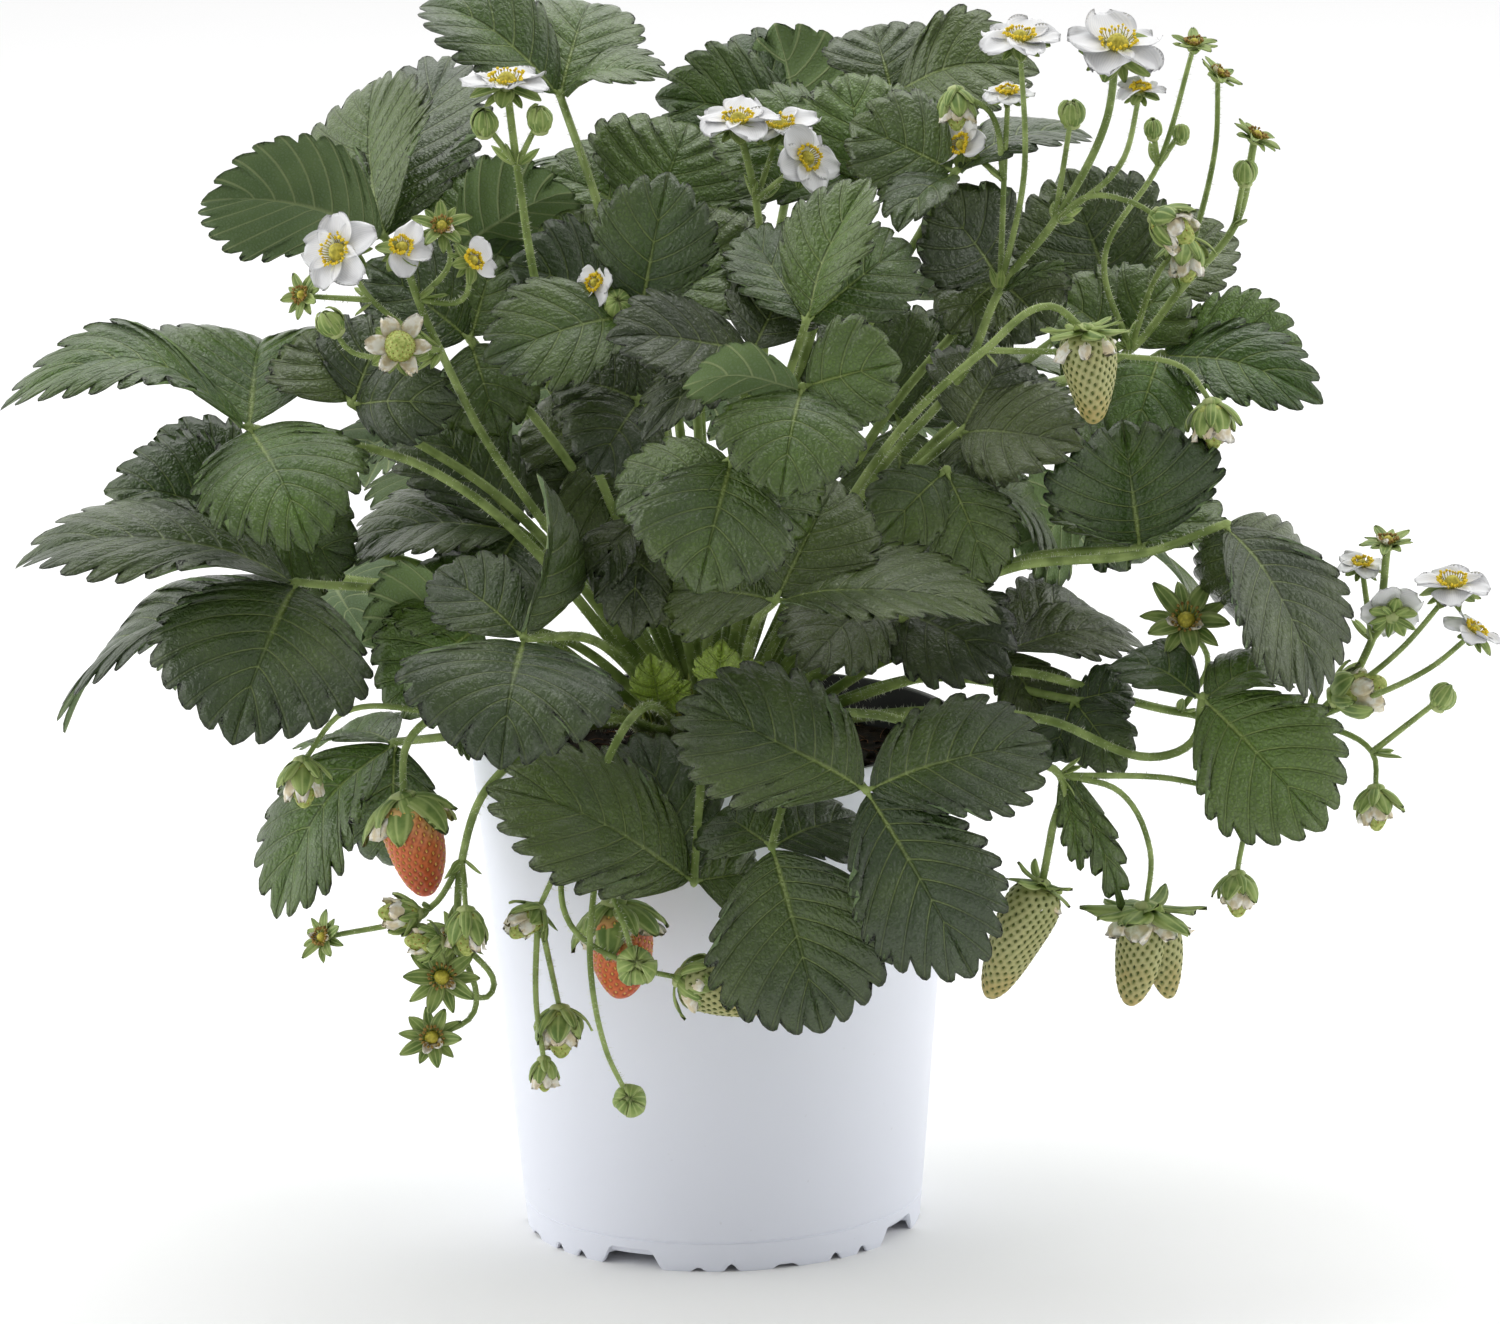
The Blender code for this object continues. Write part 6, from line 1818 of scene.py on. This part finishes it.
def pot_grid():
    """Rings of the pot from the middle of its inner floor, over the rim, to the middle of its base."""
    turns = np.arange(POT_COLUMNS) * 360 / POT_COLUMNS
    angle = np.radians(turns)
    edge = np.array([lower_edge(turn) for turn in turns])
    plate = BASE_UNDERSIDE + POT_WALL
    bore, brim, foot = outside(POT_HEIGHT) - POT_WALL, POT_HEIGHT, outside(0)
    # Each ring is (radius, height, 1 where it is black)
    rings = [(0, plate, 1), ((outside(plate) - POT_WALL) / 2, plate, 1),
             (outside(plate) - POT_WALL, np.maximum(plate, edge), 1)]
    for z in np.linspace(plate + 4 * MM, POT_HEIGHT - 1 * MM, BORE_RINGS):
        rings.append((outside(z) - POT_WALL, z, 1))
    rings += [(bore, brim - 0.4 * MM, 1), (bore + 0.4 * MM, brim, 1)]
    rings += [(RIM_RADIUS - inward * MM, brim - down * MM, black) for inward, down, black in RIM_BEAD]
    rings.append((outside(brim - 4 * MM), brim - 4.1 * MM, 0))
    for z in np.linspace(POT_HEIGHT - 6 * MM, GROOVE_HEIGHT + GROOVE_CLEAR, WALL_RINGS):
        rings.append((outside(z), z, 0))
    for off, dip in ((0.5, 0), (0.2, 1), (-0.2, 1), (-0.5, 0)):
        z = GROOVE_HEIGHT + off * MM
        rings.append((outside(z) - GROOVE_DEPTH * dip, z, 0))
    # Below the groove the rings bend more and more along the notches
    for share in (0.3, 0.7, 0.93):
        z = (GROOVE_HEIGHT - GROOVE_CLEAR) * (1 - share) + edge * share + 0.25 * MM * (1 - share)
        rings.append((foot + POT_SLOPE * z, z, 0))
    rings += [(foot - FOOT_ROUND + POT_SLOPE * edge, edge, 0),
              (foot - POT_WALL + FOOT_ROUND + POT_SLOPE * edge * 0.5, edge, 0)]
    inner = np.minimum(np.maximum(edge, BASE_UNDERSIDE), plate - 0.1 * MM)
    rings += [(foot - POT_WALL - FOOT_ROUND, inner, 0), (foot - BASE_RIM, BASE_UNDERSIDE, 0),
              (0, BASE_UNDERSIDE, 0)]
    grid = [np.stack([r * np.sin(angle), -r * np.cos(angle), z + 0 * angle], -1) for r, z, _ in rings]
    return np.array(grid), [black for _, _, black in rings]


pot_shape = Shape()
grid, black_rings = pot_grid()
bands = [above and below for above, below in zip(black_rings, black_rings[1:])]
pot_shape.add_round(grid, np.repeat(bands, POT_COLUMNS), flip=True)
print("the pot has", len(grid), "rings of", POT_COLUMNS, "points")

# %% The pot's plastic
WAVINESS = 45
DUST_SPECK = 2.2


def moulded_plastic(name, first, second, roughness):
    """Injection moulded polypropylene: even and satin, with the faintest waviness and dust."""
    made, tree, shader, place = new_material(name, IOR=1.49)
    cloud = add(tree, "TexNoise", {"Scale": per_metre(WAVINESS), "Detail": 3.0}, {"Vector": place})
    share = add(tree, "MapRange", {TO_HIGH: 0.25}, {0: cloud})
    base = add(tree, "Mix", {FIRST: first, SECOND: second}, {0: share})
    specks = add(tree, "TexNoise", {"Scale": per_metre(DUST_SPECK), "Detail": 1.0}, {"Vector": place})
    dust = add(tree, "MapRange", {**EASE, LOW: 0.76, HIGH: 0.84, TO_HIGH: 0.12}, {0: specks})
    base = add(tree, "Mix", {SECOND: "#9a948c"}, {0: dust, FIRST: base})
    worn = add(tree, "MapRange", {TO_LOW: roughness - 0.06, TO_HIGH: roughness + 0.1}, {0: cloud})
    bump = add(tree, "Bump", {"Strength": 0.15, "Distance": 0.1 * MM}, {"Height": cloud})
    feed(tree, shader, {"Base Color": base, "Roughness": worn, "Normal": bump})
    return made


WHITE_PLASTIC = moulded_plastic("white_polypropylene", "#eaedf7", "#dfe3ef", 0.38)
BLACK_PLASTIC = moulded_plastic("black_polypropylene", "#1b1c1e", "#242528", 0.42)
pot_piece = pot_shape.build("pot_fine", [WHITE_PLASTIC, BLACK_PLASTIC], "pot", "pot")
pot_piece.data.set_sharp_from_angle(angle=math.radians(35))
print("pot:", triangle_counts["pot_fine"], "triangles")

# %% [markdown]
# ## Potting mix
# Potting mix is peat and coir: a dark crumbly surface with short reddish fibres. The solid shows
# how high it stands. The fine surface is a polar grid, raised by noise at two sizes, with crumbs
# and fibres strewn on it.

# %% Potting mix
MIX_CLEAR = POT_WALL + 0.6 * MM
MIX_COLUMNS, MIX_ROWS = 120, 40
CRUMBS, FIBRES = 320, 220
CRUMB_SIZES = (0.7, 2.2)
FIBRE_LENGTHS = (5, 15)
FIBRE_RADIUS = 0.14 * MM
# Heaps are about 17 mm across and lumps about 4 mm
HEAP_HEIGHT, HEAPS_PER_METRE = 2.0 * MM, 60
MIX_LUMP_HEIGHT, MIX_LUMPS_PER_METRE = 1.6 * MM, 260
MIX_SEED = 7
# Peat is black-brown and crumbles, and coir is dry reddish fibre
PEAT = tissue("peat", "#120e0c", "#2e221b", 3, 0.95, depth_mm=0.8, ior=1.3)
COIR = tissue("coir_fibre", "#4a2e1e", "#7a5237", 4, 0.85)


def mix_height(x, y):
    """How high the mix stands at a place."""
    here = Vector((x, y, 0))
    return (MIX_TOP + HEAP_HEIGHT * noise.noise(here * HEAPS_PER_METRE)
            + MIX_LUMP_HEIGHT * noise.noise(here * MIX_LUMPS_PER_METRE) - GAP)


def mix_grid():
    """Rings of the mix, from the middle of its foot, up its side, to the middle of its top."""
    floor = BASE_UNDERSIDE + POT_WALL + GAP
    edge = outside(MIX_TOP) - MIX_CLEAR
    turns = np.arange(MIX_COLUMNS) * 2 * np.pi / MIX_COLUMNS
    rings = []
    for radius, height in ((0, floor), (outside(floor) - MIX_CLEAR, floor), (edge, MIX_TOP - 3 * MM)):
        rings.append([(radius * math.cos(a), radius * math.sin(a), height) for a in turns])
    for radius in np.linspace(edge, 0, MIX_ROWS):
        rings.append([(radius * math.cos(a), radius * math.sin(a),
                       mix_height(radius * math.cos(a), radius * math.sin(a))) for a in turns])
    return np.array(rings)


mix_shape = Shape()
mix_shape.add_round(mix_grid(), 0)
draw = np.random.default_rng(MIX_SEED)
mix_edge = outside(MIX_TOP) - MIX_CLEAR - 2 * MM
for number in range(CRUMBS + FIBRES):
    radius, angle = mix_edge * math.sqrt(draw.uniform(0.12, 1)), draw.uniform(0, ALL_ROUND)
    x, y = radius * math.cos(angle), radius * math.sin(angle)
    at = Vector((x, y, mix_height(x, y)))
    way = Vector((draw.normal(), draw.normal(), draw.uniform(-0.2, 0.3))).normalized()
    if number < CRUMBS:
        size = draw.uniform(*CRUMB_SIZES) * MM
        add_ball(mix_shape, at, way, size * draw.uniform(0.6, 1), size * 2, 0, sides=5, rows=3)
    else:
        length = draw.uniform(*FIBRE_LENGTHS) * MM
        bow = Vector((draw.normal(), draw.normal(), abs(draw.normal()) * 0.5)) * 1.4 * MM
        route = [at - way * length / 2, at + bow + UP * 0.6 * MM, at + way * length / 2 + UP * 0.3 * MM]
        add_tube(mix_shape, smooth_route(route, STEM_STEP), FIBRE_RADIUS, 1, sides=3)
mix_shape.build("potting_mix_fine", [PEAT, COIR], "potting_mix", "potting_mix")
print("potting mix:", triangle_counts["potting_mix_fine"], "triangles")
largest = max(triangle_counts, key=triangle_counts.get)
print("all triangles:", sum(triangle_counts.values()), "largest piece:", largest, triangle_counts[largest])

# %% [markdown]
# ## Floor, light and camera
# The photograph was taken in a white light tent: light comes from both sides and from above, and
# little from the front, so the pot is brightest at its edges. The world is white, and brighter at
# the back than in front. Two large soft lights stand at the sides, and one hangs above. The camera
# stands three metres away and looks down thirteen degrees, as the values that placed the leaves say.

# %% Floor
FLOOR_HALF = 4.0
PAPER_PATCH = 1000 / 3


def floor():
    """A pale, matt sheet of studio paper."""
    made, tree, shader, place = new_material("studio_paper", Roughness=0.9, IOR=1.4)
    cloud = add(tree, "TexNoise", {"Scale": per_metre(PAPER_PATCH)}, {"Vector": place})
    paper = add(tree, "Mix", {FIRST: "#fafafa", SECOND: "#fdfdfd"}, {0: cloud})
    feed(tree, shader, {"Base Color": paper})
    mesh = bpy.data.meshes.new("studio_floor")
    corners = [(x * FLOOR_HALF, y * FLOOR_HALF, 0) for x, y in ((-1, -1), (1, -1), (1, 1), (-1, 1))]
    mesh.from_pydata(corners, [], [(0, 1, 2, 3)])
    mesh.materials.append(made)
    piece = bpy.data.objects.new("studio_floor", mesh)
    bpy.context.scene.collection.objects.link(piece)
    piece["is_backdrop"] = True


floor()
print("floor:", 2 * FLOOR_HALF, "m square")

# %% Light
# Each light is (name, place in metres, size in metres, watts)
LIGHTS = (
    ("left", (-1.9, 0.0, 0.9), 1.6, 16),
    ("right", (2.0, 0.0, 0.9), 1.6, 11),
    ("above", (0.0, 1.0, 2.4), 2.2, 27),
)
LIGHT_AIM = Vector((0, 0, 0.2))
# The world's strength in front and behind, and how far round it changes from one to the other
FRONT_LIGHT, BACK_LIGHT = 0.39, 1.15
FRONT_END, BACK_END = -0.7, 0.5


def light(name, place, size, watts):
    """A square soft light that looks at the plant."""
    lamp = bpy.data.lights.new(name, "AREA")
    lamp.size, lamp.energy = size, watts
    made = bpy.data.objects.new(name, lamp)
    made.location = place
    made.rotation_euler = (LIGHT_AIM - Vector(place)).to_track_quat("-Z", "Y").to_euler()
    bpy.context.scene.collection.objects.link(made)


def tent():
    """The white tent: bright behind and at the sides, and dim in front, where the camera stands."""
    world = bpy.data.worlds.new("light tent")
    world.use_nodes = True
    tree = world.node_tree
    ways = add(tree, "SeparateXYZ", {}, {0: add(tree, "TexCoord").outputs["Generated"]})
    strength = add(tree, "MapRange", {**EASE, LOW: FRONT_END, HIGH: BACK_END, TO_LOW: FRONT_LIGHT,
                                      TO_HIGH: BACK_LIGHT}, {0: ways.outputs[1]})
    background = tree.nodes["Background"]
    background.inputs["Color"].default_value = linear("#ffffff")
    feed(tree, background, {"Strength": strength})
    return world


for row in LIGHTS:
    light(*row)
bpy.context.scene.world = tent()
bpy.context.scene.view_settings.view_transform = "Standard"
print("lights:", len(LIGHTS))

# %% Camera
SENSOR_WIDTH = 36
lens = bpy.data.cameras.new("camera")
lens.sensor_width = SENSOR_WIDTH
lens.lens = SENSOR_WIDTH * FOCAL_PIXELS / PHOTO_SIZE[0]
camera = bpy.data.objects.new("camera", lens)
right = Vector((1, 0, 0)) * math.cos(CAMERA_ROLL) - UPWARD * math.sin(CAMERA_ROLL)
top = Vector((1, 0, 0)) * math.sin(CAMERA_ROLL) + UPWARD * math.cos(CAMERA_ROLL)
turned = Matrix((right, top, -FORWARD)).transposed().to_4x4()
camera.matrix_world = Matrix.Translation(CAMERA_PLACE) @ turned
bpy.context.scene.collection.objects.link(camera)
bpy.context.scene.camera = camera
print("lens:", round(lens.lens, 1), "mm, camera at", [round(v, 2) for v in CAMERA_PLACE])

# %% [markdown]
# ## Size and finish
# The fine pieces must not outgrow the solids that they stand for. How far the new box differs
# from the solids' box is printed, low and high.

# %% Size and finish
new_box = [list(corner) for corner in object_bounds()]
growth = [[round((n - c) * 1000, 1) for n, c in zip(*corners)] for corners in zip(new_box, cad_box)]
print("growth in mm, low and high:", growth)
